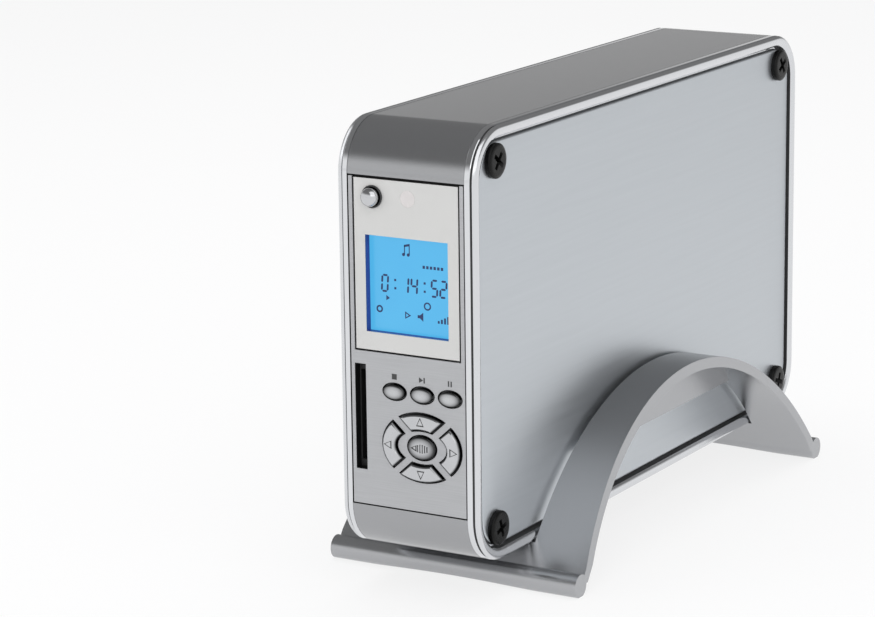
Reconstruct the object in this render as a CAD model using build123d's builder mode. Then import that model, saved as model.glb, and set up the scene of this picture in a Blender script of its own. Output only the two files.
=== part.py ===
from build123d import *
import math
import os

os.makedirs("parts", exist_ok=True)

# A hard disk media player that stands on edge in the slot of an arched stand.
# Millimetres, +Z up, the table at Z = 0, the display side facing -Y.
# The origin is under the middle of the whole object.

# ---- casing ----
case_length = 198.6
case_height = 117.0
corner_radius = 13.75
rim_inner_x = 17.7
cover_wall = 1.2
rim_width = 1.55
rim_groove_width = 0.35
rim_groove_depth = 0.4
bead_rise = 1.25
bead_width = 3.1
bead_outer_fillet = 1.15
bead_inner_fillet = 0.5
ledge_wall = 1.0
ledge_reach = 16.0
side_plate_inset = 3.9
side_plate_wall = 1.05
side_plate_fillet = 0.8
lip_gap = 0.3
lip_wall = 1.0
lip_reach = 4.0
lip_half_length = 70.0
inner_plate_wall = 1.0
inner_plate_set_back = 7.8
inner_plate_margin = 4.0

# ---- corner screws and posts ----
screw_inset_y = 11.65
screw_inset_z = 9.1
screw_head_radius = 4.7
screw_head_height = 2.6
screw_crown = 0.9
screw_shank_radius = 2.0
screw_shank_length = 12.0
screw_hole_clearance = 0.2
thread_clearance = 0.06
cross_length = 5.2
cross_width = 1.1
cross_depth = 1.6
post_radius = 4.0
post_rib_wall = 1.6
guide_rib_y = 50.0
guide_rib_reach = 13.0
slide_clearance = 0.1

# ---- stand ----
stand_shelf_height = 11.0
stand_set_back = 1.5
arch_radius = 88.6
arch_crown_height = 46.2
arch_leg_angle = 54.7
stand_wall = 3.0
stand_top_half_width = 32.8
stand_foot_half_width = 38.4
stand_foot_height = 7.0
foot_bar_radius = 3.25
foot_bar_out = 76.8
foot_bar_flat = 0.25
foot_relief = 1.0
foot_relief_half = 26.0
slot_clearance = 0.4
skirt_wall = 2.0
skirt_height = 29.6

# ---- front ----
panel_gap = 0.25
bezel_wall = 2.4
skirt_thickness = 0.6
skirt_reach = 7.4
panel_flange_wall = 1.0
panel_flange_lip = 1.5
panel_flange_gap = 0.5
display_plate_width = 31.8
display_plate_bottom = 56.4
display_plate_wall = 1.2
display_plate_sink = 0.15
display_plate_gap = 0.3
window_width = 25.0
window_bottom = 61.5
window_height = 26.0
glass_margin = 1.4
glass_wall = 2.0
ir_x = 0.6
ir_z = 98.0
ir_radius = 2.0
card_slot_x = -14.6
card_slot_width = 3.4
card_slot_bottom = 23.6
card_slot_height = 28.9
card_reader_length = 29.0
card_width = 24.8
card_thickness = 2.5
front_board_set_back = 8.8
board_wall = 1.4
front_board_cut_x = -11.0
front_boss_radius = 1.7
front_boss_high_x = 13.4
front_boss_high_z = 91.3
front_boss_low_x = 8.0
front_boss_low_z = 18.5
small_shank_radius = 0.8
small_head_radius = 1.7
small_head_height = 1.1
small_shank_length = 4.0

# ---- buttons ----
button_travel = 0.5
button_gap = 0.25
button_flange = 0.8
button_flange_lip = 0.4
button_rest_gap = 0.05
button_switch_gap = 0.65
button_edge = 0.7
arc_edge = 0.45
power_x = -10.1
power_z = 97.8
power_radius = 2.5
power_rise = 3.0
key_row_z = 46.0
key_row_x = 4.35
key_pitch = 8.45
key_half_width = 3.5
key_half_height = 2.2
key_rise = 1.0
pad_x = 4.1
pad_z = 31.7
pad_half_width = 12.0
pad_half_height = 9.35
pad_hole_half_width = 7.65
pad_hole_half_height = 4.7
pad_bar_width = 2.3
pad_bar_angle = 42.0
centre_half_width = 4.35
centre_half_height = 3.3
stem_radius = 1.3
switch_size = 4.6
switch_height = 3.0
plunger_radius = 1.1
plunger_height = 0.8

# ---- rear ----
jack_pitch = 14.0
jack_right_x = 8.1
jack_left_x = -5.5
jack_bottom_z = 50.0
jack_reach = 8.8
jack_sleeve_radius = 4.15
jack_bore_radius = 3.25
jack_flange_radius = 5.4
jack_flange_wall = 1.0
jack_insert_sink = 1.2
jack_insert_gap = 0.05
jack_pin_radius = 1.7
jack_neck = 6.4
jack_block_depth = 11.0
jack_block_margin = 6.4
panel_hole_gap = 0.15
panel_screw_x = 2.1
panel_screw_z = 56.6
panel_screw_radius = 2.9
panel_screw_height = 1.5
panel_screw_shank = 1.4
panel_screw_length = 7.0
port_rise = 0.5
port_wall = 0.5
hdmi_x = -5.9
hdmi_z = 94.4
hdmi_width = 6.0
hdmi_height = 14.6
hdmi_depth = 11.0
hdmi_chamfer = 1.6
video_port_z = 36.5
video_port_width = 7.1
video_port_height = 10.3
video_port_gap = 0.9
mini_usb_x = -7.5
mini_usb_z = 35.9
mini_usb_width = 4.2
mini_usb_height = 7.9
mini_depth = 9.0
usb_z = 22.0
usb_width = 7.0
usb_height = 13.4
usb_depth = 14.0
power_socket_width = 13.4
power_socket_height = 13.6
power_socket_z = 22.0
power_socket_depth = 12.0
power_socket_radius = 4.5
power_socket_bore = 8.0
tongue_wall = 1.6

# ---- inside ----
main_board_x = -10.2
main_board_set_back = 11.5
main_board_margin = 15.0
io_board_x = 14.75
standoff_radius = 2.5
board_screw_y = 17.4
board_screw_z = 20.0
board_screw_radius = 1.2
board_screw_head = 1.9
drive_length = 147.0
drive_width = 101.6
drive_height = 26.1
drive_set_back = 30.3
drive_bottom = 7.7
drive_lid_wall = 1.2
drive_wall = 5.0
drive_floor = 5.0
drive_board_wall = 1.6
drive_board_sink = 0.3
drive_board_margin = 6.0
drive_hole_up = 6.35
tray_gap = 0.4
tray_flange_reach = 24.0
tray_tab = 5.0
tray_tab_width = 12.0
tray_boss_x = 6.0
tray_boss_radius = 2.0
tray_boss_rib = 1.2
drive_hole_first = 28.5
drive_hole_pitch = 101.6
drive_screw_radius = 1.6
drive_screw_head = 2.9
drive_screw_height = 1.3
drive_screw_length = 4.0
header_height = 4.0
header_depth = 6.0
header_wall = 1.2
header_cavity = 3.0
plug_height = 3.0
plug_fit = 0.1
cable_wall = 1.2
drive_plug_depth = 6.0
drive_plug_width = 36.0
drive_plug_height = 6.0
drive_plug_z = 76.0
drive_cord_radius = 1.8
drive_cord_bend = 5.0
drive_header_z = 56.0
drive_header_height = 6.0
front_lead_z = 38.0
front_lead_width = 12.0
front_lead_bend = 4.0
front_header_height = 2.5
chip_height = 1.2
sink_height = 3.6
sink_size = 32.0
sink_fins = 7

# ---- places worked out from the sizes ----
case_y = (power_rise - jack_reach) / 2
front_y = case_y - case_length / 2
rear_y = case_y + case_length / 2
case_bottom = stand_shelf_height
case_mid_z = case_bottom + case_height / 2
groove_x = rim_inner_x + rim_width
bead_base_x = groove_x + rim_groove_width
bead_x = bead_base_x + bead_rise
ledge_x = rim_inner_x + ledge_wall
plate_face_x = ledge_x + side_plate_wall
inner_plate_x = rim_inner_x - inner_plate_wall
screw_y = case_length / 2 - screw_inset_y
screw_z = case_height / 2 - screw_inset_z
screw_places = [(sy * screw_y, sz * screw_z) for sy in (-1, 1) for sz in (-1, 1)]
panel_half_width = rim_inner_x - panel_gap
panel_bottom = corner_radius + panel_gap
panel_height = case_height - 2 * panel_bottom
panel_mid_z = case_height / 2
board_front_y = front_y + front_board_set_back
board_back_y = board_front_y + board_wall
plunger_y = board_front_y - switch_height - plunger_height
slot_half_width = bead_x + slot_clearance
stand_y = case_y + stand_set_back
main_board_back_x = main_board_x - board_wall
drive_front = front_y + drive_set_back
tray_wall = inner_plate_wall
tray_x = rim_inner_x - tray_gap - tray_wall
drive_x = tray_x - drive_height
drive_rear = drive_front + drive_length
drive_mid_z = drive_bottom + drive_width / 2


def side_plane(x):
    """YZ plane at x, centred on the side of the casing."""
    return Plane(origin=(x, case_y, case_mid_z), x_dir=(0, 1, 0), z_dir=(1, 0, 0))


def end_plane(y):
    """XZ plane at y, facing the display side, zero at the casing's underside."""
    return Plane(origin=(0, y, case_bottom), x_dir=(1, 0, 0), z_dir=(0, -1, 0))


def flat_plane(z):
    """Horizontal plane at a height above the casing's underside."""
    return Plane.XY.offset(case_bottom + z)


def outline(inset, mode=Mode.ADD):
    """The casing's rounded side outline, set in by a distance."""
    RectangleRounded(
        case_length - 2 * inset,
        case_height - 2 * inset,
        corner_radius - inset,
        mode=mode,
    )


def write(piece, name):
    """Labels a finished piece and writes it to its own file."""
    piece.part.label = name
    export_step(piece.part, "parts/" + name + ".step")


# ---- stand: one moulded arch, straight legs that end in bars, a slot, two skirts ----
arch_centre_z = arch_crown_height - arch_radius
inner_radius = arch_radius - stand_wall
# the legs turn straight before the arch comes down to the feet
arch_drop = (arch_crown_height - stand_foot_height) / inner_radius
arch_turn = min(math.radians(arch_leg_angle), math.acos(1 - arch_drop))
outer_turn_y = arch_radius * math.sin(arch_turn)
outer_turn_z = arch_centre_z + arch_radius * math.cos(arch_turn)
inner_turn_y = inner_radius * math.sin(arch_turn)
inner_turn_z = arch_centre_z + inner_radius * math.cos(arch_turn)
outer_foot_y = outer_turn_y + (outer_turn_z - foot_bar_radius) / math.tan(arch_turn)
inner_foot_y = inner_turn_y + (inner_turn_z - foot_bar_radius) / math.tan(arch_turn)
relief_radius = (foot_relief_half**2 + foot_relief**2) / (2 * foot_relief)
foot_bar_z = foot_bar_radius - foot_bar_flat
stand_side = Plane(origin=(0, stand_y, 0), x_dir=(0, 1, 0), z_dir=(1, 0, 0))
stand_end = Plane(origin=(0, stand_y, 0), x_dir=(1, 0, 0), z_dir=(0, -1, 0))

with BuildPart() as stand:
    with BuildSketch(stand_side):
        with BuildLine():
            Line((-outer_foot_y, foot_bar_z), (-outer_turn_y, outer_turn_z))
            ThreePointArc(
                (-outer_turn_y, outer_turn_z),
                (0, arch_crown_height),
                (outer_turn_y, outer_turn_z),
            )
            Line((outer_turn_y, outer_turn_z), (outer_foot_y, foot_bar_z))
            Line((outer_foot_y, foot_bar_z), (inner_foot_y, foot_bar_z))
            Line((inner_foot_y, foot_bar_z), (inner_turn_y, inner_turn_z))
            ThreePointArc(
                (inner_turn_y, inner_turn_z),
                (0, arch_crown_height - stand_wall),
                (-inner_turn_y, inner_turn_z),
            )
            Line((-inner_turn_y, inner_turn_z), (-inner_foot_y, foot_bar_z))
            Line((-inner_foot_y, foot_bar_z), (-outer_foot_y, foot_bar_z))
        make_face()
        with Locations((-foot_bar_out, foot_bar_z), (foot_bar_out, foot_bar_z)):
            Circle(foot_bar_radius)
    extrude(amount=stand_foot_half_width, both=True)
    # the skirts hang from the arch, one each side of the slot
    for side in (-1, 1):
        with BuildSketch(stand_side.offset(side * (slot_half_width + skirt_wall / 2))):
            with BuildLine():
                Line((-outer_turn_y, outer_turn_z), (outer_turn_y, outer_turn_z))
                ThreePointArc(
                    (outer_turn_y, outer_turn_z),
                    (0, arch_crown_height),
                    (-outer_turn_y, outer_turn_z),
                )
            make_face()
            with Locations((0, skirt_height / 2)):
                Rectangle(case_length, skirt_height, mode=Mode.SUBTRACT)
        extrude(amount=skirt_wall / 2, both=True)
    # the sides draw in towards the crown
    with BuildSketch(stand_end):
        with BuildLine():
            Polyline(
                (-stand_foot_half_width, 0),
                (stand_foot_half_width, 0),
                (stand_foot_half_width, stand_foot_height),
                (stand_top_half_width, arch_crown_height),
                (-stand_top_half_width, arch_crown_height),
                (-stand_foot_half_width, stand_foot_height),
                close=True,
            )
        make_face()
    extrude(amount=case_length, both=True, mode=Mode.INTERSECT)
    # the slot, down to the shelf that carries the casing
    with BuildSketch(Plane.XY.offset(stand_shelf_height)):
        with Locations((0, stand_y)):
            Rectangle(2 * slot_half_width, case_length)
    extrude(amount=arch_crown_height, mode=Mode.SUBTRACT)
    # the bars stand on their ends
    with BuildSketch(stand_end):
        with Locations((0, foot_relief - relief_radius)):
            Circle(relief_radius)
    extrude(amount=case_length, both=True, mode=Mode.SUBTRACT)
write(stand, "stand")

# ---- covers: curved sheets over the top and bottom ----
def cover_shell(side):
    """One cover's curved sheet; side is +1 for the top."""
    with BuildSketch(side_plane(0)) as sheet:
        outline(0)
        outline(cover_wall, mode=Mode.SUBTRACT)
        with Locations((0, -side * corner_radius)):
            Rectangle(2 * case_length, case_height, mode=Mode.SUBTRACT)
    extrude(sheet.sketch, amount=rim_inner_x, both=True)


# the lower cover carries two posts and the ribs that the drive tray stands on
rest_rib_height = drive_bottom - tray_wall - slide_clearance
rest_rib_places = [(-guide_rib_y, rest_rib_height / 2), (guide_rib_y, rest_rib_height / 2)]
post_places = [(-screw_y, -screw_z), (screw_y, -screw_z)]
post_rib_places = [(-screw_y, screw_inset_z / 2), (screw_y, screw_inset_z / 2)]
cover_side = Plane(origin=(0, case_y, case_bottom), x_dir=(0, 1, 0), z_dir=(1, 0, 0))
with BuildPart() as bottom_cover:
    cover_shell(-1)
    with BuildSketch(side_plane(-inner_plate_x)):
        with Locations(*post_places):
            Circle(post_radius)
    extrude(amount=inner_plate_x + rim_inner_x)
    with BuildSketch(cover_side):
        with Locations(*post_rib_places):
            Rectangle(post_rib_wall, screw_inset_z)
    extrude(amount=inner_plate_x, both=True)
    with BuildSketch(cover_side):
        with Locations(*rest_rib_places):
            Rectangle(post_rib_wall, rest_rib_height)
    extrude(amount=guide_rib_reach, both=True)
    with BuildSketch(side_plane(0)):
        with Locations(*post_places):
            Circle(screw_shank_radius + thread_clearance)
    extrude(amount=case_height, both=True, mode=Mode.SUBTRACT)
write(bottom_cover, "bottom_cover")

# the upper posts are loose spacers, so that the upper cover can lift off them
with BuildPart() as upper_posts:
    with BuildSketch(side_plane(-inner_plate_x)):
        with Locations((-screw_y, screw_z), (screw_y, screw_z)):
            Circle(post_radius)
            Circle(screw_shank_radius + thread_clearance, mode=Mode.SUBTRACT)
    extrude(amount=inner_plate_x + rim_inner_x)
write(upper_posts, "upper_posts")

# the upper cover rests over the posts on two ribs and carries the drive tray on two bosses
cover_under = case_height - cover_wall
rib_bottom = case_height - screw_inset_z + post_radius + lip_gap
tray_top = drive_bottom + drive_width + tray_wall
tray_boss_places = [
    (tray_boss_x, drive_front - tray_tab / 2),
    (tray_boss_x, drive_rear + tray_tab / 2),
]
with BuildPart() as top_cover:
    cover_shell(1)
    with BuildSketch(cover_side):
        with Locations((-screw_y, rib_bottom), (screw_y, rib_bottom)):
            Rectangle(
                post_rib_wall,
                cover_under + cover_wall / 2 - rib_bottom,
                align=(Align.CENTER, Align.MIN),
            )
    extrude(amount=guide_rib_reach, both=True)
    with BuildSketch(flat_plane(tray_top)):
        with Locations(*tray_boss_places):
            Circle(tray_boss_radius)
    extrude(amount=cover_under + cover_wall / 2 - tray_top)
    with BuildSketch(flat_plane(tray_top)):
        with Locations(*tray_boss_places):
            Circle(small_shank_radius + thread_clearance)
    extrude(amount=small_shank_length, mode=Mode.SUBTRACT)
write(top_cover, "top_cover")

# ---- side frames: chrome rim, thin groove, rounded bead, ledge for the side plate ----
for side, name in ((-1, "left_frame"), (1, "right_frame")):
    with BuildPart() as frame:
        with BuildSketch(side_plane(side * rim_inner_x)):
            outline(0)
            outline(bead_width, mode=Mode.SUBTRACT)
        extrude(amount=side * rim_width)
        with BuildSketch(side_plane(side * groove_x)):
            outline(rim_groove_depth)
            outline(bead_width, mode=Mode.SUBTRACT)
        extrude(amount=side * rim_groove_width)
        with BuildSketch(side_plane(side * bead_base_x)):
            outline(0)
            outline(bead_width, mode=Mode.SUBTRACT)
        extrude(amount=side * bead_rise)
        bead_face = frame.faces().sort_by(Axis.X)[-1 if side > 0 else 0]
        fillet(bead_face.outer_wire().edges(), bead_outer_fillet)
        bead_face = frame.faces().sort_by(Axis.X)[-1 if side > 0 else 0]
        fillet(bead_face.inner_wires()[0].edges(), bead_inner_fillet)
        with BuildSketch(side_plane(side * rim_inner_x)):
            outline(bead_width)
            Rectangle(
                case_length - 2 * ledge_reach,
                case_height - 2 * ledge_reach,
                mode=Mode.SUBTRACT,
            )
        extrude(amount=side * ledge_wall)
        # the lip reaches in over the lower cover
        with BuildSketch(side_plane(side * rim_inner_x)):
            lip_mid = case_height / 2 - cover_wall - lip_gap - lip_wall / 2
            with Locations((0, -lip_mid)):
                Rectangle(2 * lip_half_length, lip_wall)
        extrude(amount=-side * lip_reach)
        with BuildSketch(side_plane(0)):
            with Locations(*screw_places):
                Circle(screw_shank_radius + screw_hole_clearance)
        extrude(amount=side * case_height, mode=Mode.SUBTRACT)
    write(frame, name)

# ---- side plates: sheets with rounded edges that lie inside the beads ----
for side, name in ((-1, "left_side_plate"), (1, "right_side_plate")):
    with BuildPart() as side_plate:
        with BuildSketch(side_plane(side * ledge_x)):
            outline(side_plate_inset)
        extrude(amount=side * side_plate_wall)
        outer_face = side_plate.faces().sort_by(Axis.X)[-1 if side > 0 else 0]
        fillet(outer_face.edges(), side_plate_fillet)
        with BuildSketch(side_plane(0)):
            with Locations(*screw_places):
                Circle(screw_shank_radius + screw_hole_clearance)
        extrude(amount=side * case_height, mode=Mode.SUBTRACT)
    write(side_plate, name)

# ---- corner screws: four pan heads a side ----
for side, name in ((-1, "left_side_screws"), (1, "right_side_screws")):
    with BuildPart() as side_screws:
        with BuildSketch(side_plane(side * plate_face_x)):
            with Locations(*screw_places):
                Circle(screw_head_radius)
        extrude(amount=side * screw_head_height)
        head_faces = side_screws.faces().group_by(Axis.X)[-1 if side > 0 else 0]
        fillet(head_faces.edges(), screw_crown)
        with BuildSketch(side_plane(side * plate_face_x)):
            with Locations(*screw_places):
                Circle(screw_shank_radius)
        extrude(amount=-side * screw_shank_length)
        with BuildSketch(side_plane(side * (plate_face_x + screw_head_height))):
            with Locations(*screw_places):
                Rectangle(cross_length, cross_width)
                Rectangle(cross_width, cross_length)
        extrude(amount=-side * cross_depth, mode=Mode.SUBTRACT)
    write(side_screws, name)

# ---- end panels' shared shape: a plate, a flange behind the covers, skirts inward ----
flange_height = panel_height + 2 * panel_gap + 2 * panel_flange_lip
flange_start = cover_wall + panel_flange_gap


def end_panel(face_y, inward, wall):
    """The plate, flange and skirts of an end panel; inward is +1 for +Y."""
    with BuildSketch(end_plane(face_y)) as plate:
        with Locations((0, panel_mid_z)):
            Rectangle(2 * panel_half_width, panel_height)
    extrude(plate.sketch, amount=-inward * wall)
    with BuildSketch(end_plane(face_y + inward * flange_start)) as flange:
        with Locations((0, panel_mid_z)):
            Rectangle(2 * panel_half_width, flange_height)
            Rectangle(
                2 * (panel_half_width - skirt_thickness),
                panel_height - 2 * skirt_thickness,
                mode=Mode.SUBTRACT,
            )
    extrude(flange.sketch, amount=-inward * panel_flange_wall)
    with BuildSketch(end_plane(face_y + inward * wall)) as skirts:
        with Locations((0, panel_mid_z)):
            Rectangle(2 * panel_half_width, panel_height)
            Rectangle(
                2 * (panel_half_width - skirt_thickness),
                panel_height - 2 * skirt_thickness,
                mode=Mode.SUBTRACT,
            )
    extrude(skirts.sketch, amount=-inward * (skirt_reach - wall))


# ---- button outlines: round, oval, and the four arcs of the pad ----
key_row = [key_row_x + step * key_pitch for step in (-1, 0, 1)]
pad_mid_x = (pad_half_width + pad_hole_half_width) / 2
pad_mid_z = (pad_half_height + pad_hole_half_height) / 2
pad_arcs = {
    "right_button": (0, pad_x + pad_mid_x, pad_z),
    "up_button": (1, pad_x, pad_z + pad_mid_z),
    "left_button": (2, pad_x - pad_mid_x, pad_z),
    "down_button": (3, pad_x, pad_z - pad_mid_z),
}
oval_keys = {
    "stop_button": (key_row[0], key_row_z),
    "next_button": (key_row[1], key_row_z),
    "pause_button": (key_row[2], key_row_z),
}
switch_places = (
    [(power_x, power_z), (pad_x, pad_z)]
    + list(oval_keys.values())
    + [(x, z) for turn, x, z in pad_arcs.values()]
)


def arc_outline(turn, grow):
    """One arc of the pad, a quarter of a ring between the slanting gaps."""
    low = 90 * turn - (90 - pad_bar_angle if turn % 2 else pad_bar_angle)
    high = 90 * turn + (90 - pad_bar_angle if turn % 2 else pad_bar_angle)
    far = 2 * pad_half_width
    with Locations((pad_x, pad_z)):
        Ellipse(pad_half_width + grow, pad_half_height + grow)
        Ellipse(
            pad_hole_half_width - grow,
            pad_hole_half_height - grow,
            mode=Mode.SUBTRACT,
        )
        Polygon(
            (0, 0),
            (far * math.cos(math.radians(low)), far * math.sin(math.radians(low))),
            (far * math.cos(math.radians(high)), far * math.sin(math.radians(high))),
            align=None,
            mode=Mode.INTERSECT,
        )
        for angle in (low, high):
            Rectangle(
                2 * far,
                pad_bar_width - 2 * grow,
                rotation=angle,
                mode=Mode.SUBTRACT,
            )


def button_body(face, back, x, z, rise):
    """Cap through the bezel, flange behind it and a stem towards the switch."""
    extrude(face, amount=rise)
    extrude(face, amount=-(bezel_wall + button_rest_gap + button_flange))
    extrude(back, amount=-button_flange)
    with BuildSketch(end_plane(front_y + bezel_wall)) as stem:
        with Locations((x, z)):
            Circle(stem_radius)
    extrude(stem.sketch, amount=-(plunger_y - button_switch_gap - front_y - bezel_wall))


flange_y = front_y + bezel_wall + button_rest_gap

with BuildPart() as power_button:
    with BuildSketch(end_plane(front_y)) as cap:
        with Locations((power_x, power_z)):
            Circle(power_radius)
    with BuildSketch(end_plane(flange_y)) as rest:
        with Locations((power_x, power_z)):
            Circle(power_radius + button_flange_lip)
    button_body(cap.sketch, rest.sketch, power_x, power_z, power_rise)
    fillet(power_button.faces().sort_by(Axis.Y)[0].edges(), power_radius * 0.6)
write(power_button, "power_button")

for name, (x, z) in oval_keys.items():
    with BuildPart() as key:
        with BuildSketch(end_plane(front_y)) as cap:
            with Locations((x, z)):
                Ellipse(key_half_width, key_half_height)
        with BuildSketch(end_plane(flange_y)) as rest:
            with Locations((x, z)):
                Ellipse(key_half_width + button_flange_lip, key_half_height + button_flange_lip)
        button_body(cap.sketch, rest.sketch, x, z, key_rise)
        fillet(key.faces().sort_by(Axis.Y)[0].edges(), button_edge)
    write(key, name)

for name, (turn, x, z) in pad_arcs.items():
    with BuildPart() as key:
        with BuildSketch(end_plane(front_y)) as cap:
            arc_outline(turn, 0)
        with BuildSketch(end_plane(flange_y)) as rest:
            arc_outline(turn, button_flange_lip)
        button_body(cap.sketch, rest.sketch, x, z, key_rise)
        chamfer(key.faces().sort_by(Axis.Y)[0].edges(), arc_edge)
    write(key, name)

with BuildPart() as centre_button:
    with BuildSketch(end_plane(front_y)) as cap:
        with Locations((pad_x, pad_z)):
            Ellipse(centre_half_width, centre_half_height)
    with BuildSketch(end_plane(flange_y)) as rest:
        with Locations((pad_x, pad_z)):
            Ellipse(
                centre_half_width + button_flange_lip,
                centre_half_height + button_flange_lip,
            )
    button_body(cap.sketch, rest.sketch, pad_x, pad_z, key_rise)
    fillet(centre_button.faces().sort_by(Axis.Y)[0].edges(), button_edge)
write(centre_button, "centre_button")

# ---- front bezel: holds the display plate, the buttons and the front board ----
window_mid_z = window_bottom + window_height / 2
display_plate_top = case_height - panel_bottom - display_plate_gap
display_plate_height = display_plate_top - display_plate_bottom
display_plate_z = (display_plate_top + display_plate_bottom) / 2
card_slot_z = card_slot_bottom + card_slot_height / 2
front_boss_places = [
    (-front_boss_high_x, front_boss_high_z),
    (front_boss_high_x, front_boss_high_z),
    (-front_boss_low_x, front_boss_low_z),
    (front_boss_high_x, front_boss_low_z),
]

with BuildPart() as front_bezel:
    end_panel(front_y, 1, bezel_wall)
    with BuildSketch(end_plane(front_y + bezel_wall)):
        with Locations(*front_boss_places):
            Circle(front_boss_radius)
    extrude(amount=-(front_board_set_back - bezel_wall))
    # recess for the display plate
    with BuildSketch(end_plane(front_y)):
        with Locations((0, display_plate_z)):
            Rectangle(
                display_plate_width + 2 * display_plate_gap,
                display_plate_height + 2 * display_plate_gap,
            )
    extrude(amount=-(display_plate_wall + display_plate_sink), mode=Mode.SUBTRACT)
    # openings right through
    with BuildSketch(end_plane(front_y)):
        with Locations((0, window_mid_z)):
            Rectangle(window_width, window_height)
        with Locations((ir_x, ir_z)):
            Circle(ir_radius + button_gap)
        with Locations((power_x, power_z)):
            Circle(power_radius + button_gap)
        with Locations((card_slot_x, card_slot_z)):
            Rectangle(card_slot_width, card_slot_height)
        for x, z in oval_keys.values():
            with Locations((x, z)):
                Ellipse(key_half_width + button_gap, key_half_height + button_gap)
        with Locations((pad_x, pad_z)):
            Ellipse(centre_half_width + button_gap, centre_half_height + button_gap)
    extrude(amount=-bezel_wall, mode=Mode.SUBTRACT)
    for turn, x, z in pad_arcs.values():
        with BuildSketch(end_plane(front_y)):
            arc_outline(turn, button_gap)
        extrude(amount=-bezel_wall, mode=Mode.SUBTRACT)
    with BuildSketch(end_plane(board_front_y)):
        with Locations(*front_boss_places):
            Circle(small_shank_radius + thread_clearance)
    extrude(amount=small_shank_length, mode=Mode.SUBTRACT)
write(front_bezel, "front_bezel")

# ---- display plate: the pale panel round the window ----
with BuildPart() as display_plate:
    with BuildSketch(end_plane(front_y + display_plate_sink)):
        with Locations((0, display_plate_z)):
            Rectangle(display_plate_width, display_plate_height)
        with Locations((0, window_mid_z)):
            Rectangle(window_width, window_height, mode=Mode.SUBTRACT)
        with Locations((ir_x, ir_z)):
            Circle(ir_radius + button_gap, mode=Mode.SUBTRACT)
        with Locations((power_x, power_z)):
            Circle(power_radius + button_gap, mode=Mode.SUBTRACT)
    extrude(amount=-display_plate_wall)
write(display_plate, "display_plate")

# ---- remote control window: a tinted plug with a flange behind the bezel ----
with BuildPart() as remote_window:
    with BuildSketch(end_plane(front_y + display_plate_sink)):
        with Locations((ir_x, ir_z)):
            Circle(ir_radius)
    extrude(amount=-(bezel_wall - display_plate_sink))
    with BuildSketch(end_plane(front_y + bezel_wall)):
        with Locations((ir_x, ir_z)):
            Circle(ir_radius + button_flange_lip)
    extrude(amount=-(front_board_set_back - bezel_wall))
write(remote_window, "remote_window")

# ---- display: glass behind the window, light box between glass and board ----
with BuildPart() as display_glass:
    with BuildSketch(end_plane(front_y + bezel_wall)):
        with Locations((0, window_mid_z)):
            Rectangle(window_width + 2 * glass_margin, window_height + 2 * glass_margin)
    extrude(amount=-glass_wall)
write(display_glass, "display_glass")

with BuildPart() as display_light_box:
    with BuildSketch(end_plane(front_y + bezel_wall + glass_wall)):
        with Locations((0, window_mid_z)):
            Rectangle(window_width + 2 * glass_margin, window_height + 2 * glass_margin)
    extrude(amount=-(front_board_set_back - bezel_wall - glass_wall))
write(display_light_box, "display_light_box")

# ---- front board with its switches and screws ----
front_board_half = panel_half_width - 2 * skirt_thickness
post_clear_height = case_height - 2 * (screw_inset_z + post_radius + lip_gap)
front_board_height = min(panel_height - 2 * skirt_thickness, post_clear_height)
with BuildPart() as front_board:
    with BuildSketch(end_plane(board_front_y)):
        with Locations((0, panel_mid_z)):
            Rectangle(2 * front_board_half, front_board_height)
        with Locations((-front_board_half, 0)):
            Rectangle(
                front_board_half + front_board_cut_x,
                display_plate_bottom,
                align=(Align.MIN, Align.MIN),
                mode=Mode.SUBTRACT,
            )
        with Locations(*front_boss_places):
            Circle(small_shank_radius + screw_hole_clearance, mode=Mode.SUBTRACT)
    extrude(amount=-board_wall)
write(front_board, "front_board")

with BuildPart() as key_switches:
    with BuildSketch(end_plane(board_front_y)):
        with Locations(*switch_places):
            Rectangle(switch_size, switch_size)
    extrude(amount=switch_height)
    with BuildSketch(end_plane(board_front_y - switch_height)):
        with Locations(*switch_places):
            Circle(plunger_radius)
    extrude(amount=plunger_height)
write(key_switches, "key_switches")

with BuildPart() as front_board_screws:
    with BuildSketch(end_plane(board_back_y)):
        with Locations(*front_boss_places):
            Circle(small_head_radius)
    extrude(amount=-small_head_height)
    with BuildSketch(end_plane(board_back_y)):
        with Locations(*front_boss_places):
            Circle(small_shank_radius)
    extrude(amount=small_shank_length)
write(front_board_screws, "front_board_screws")

# ---- card reader: a shell on the main board, open towards the slot ----
card_reader_back = main_board_back_x
card_reader_face = card_slot_x - card_slot_width / 2
card_reader_mid = (card_reader_back + card_reader_face) / 2
with BuildPart() as card_reader:
    with BuildSketch(end_plane(front_y + bezel_wall)):
        with Locations((card_reader_mid, card_slot_z)):
            Rectangle(card_reader_back - card_reader_face, card_slot_height)
    extrude(amount=-card_reader_length)
    with BuildSketch(end_plane(front_y + bezel_wall)):
        with Locations((card_slot_x, card_slot_z)):
            Rectangle(card_thickness, card_width)
    extrude(amount=-(card_reader_length - port_wall), mode=Mode.SUBTRACT)
write(card_reader, "card_reader")

# ---- rear panel with its sockets ----
jack_right = [(jack_right_x, jack_bottom_z + step * jack_pitch) for step in range(4)]
jack_left = [(jack_left_x, jack_bottom_z + step * jack_pitch) for step in range(3)]
jack_places = jack_right + jack_left
panel_screw_places = [(panel_screw_x, panel_screw_z + step * jack_pitch) for step in range(3)]
power_socket_x = main_board_x + power_socket_width / 2
usb_x = io_board_x - usb_width / 2
video_port_x = io_board_x - video_port_gap - video_port_width / 2
inner_panel_y = rear_y - bezel_wall
plug_key = usb_width / 6


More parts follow.
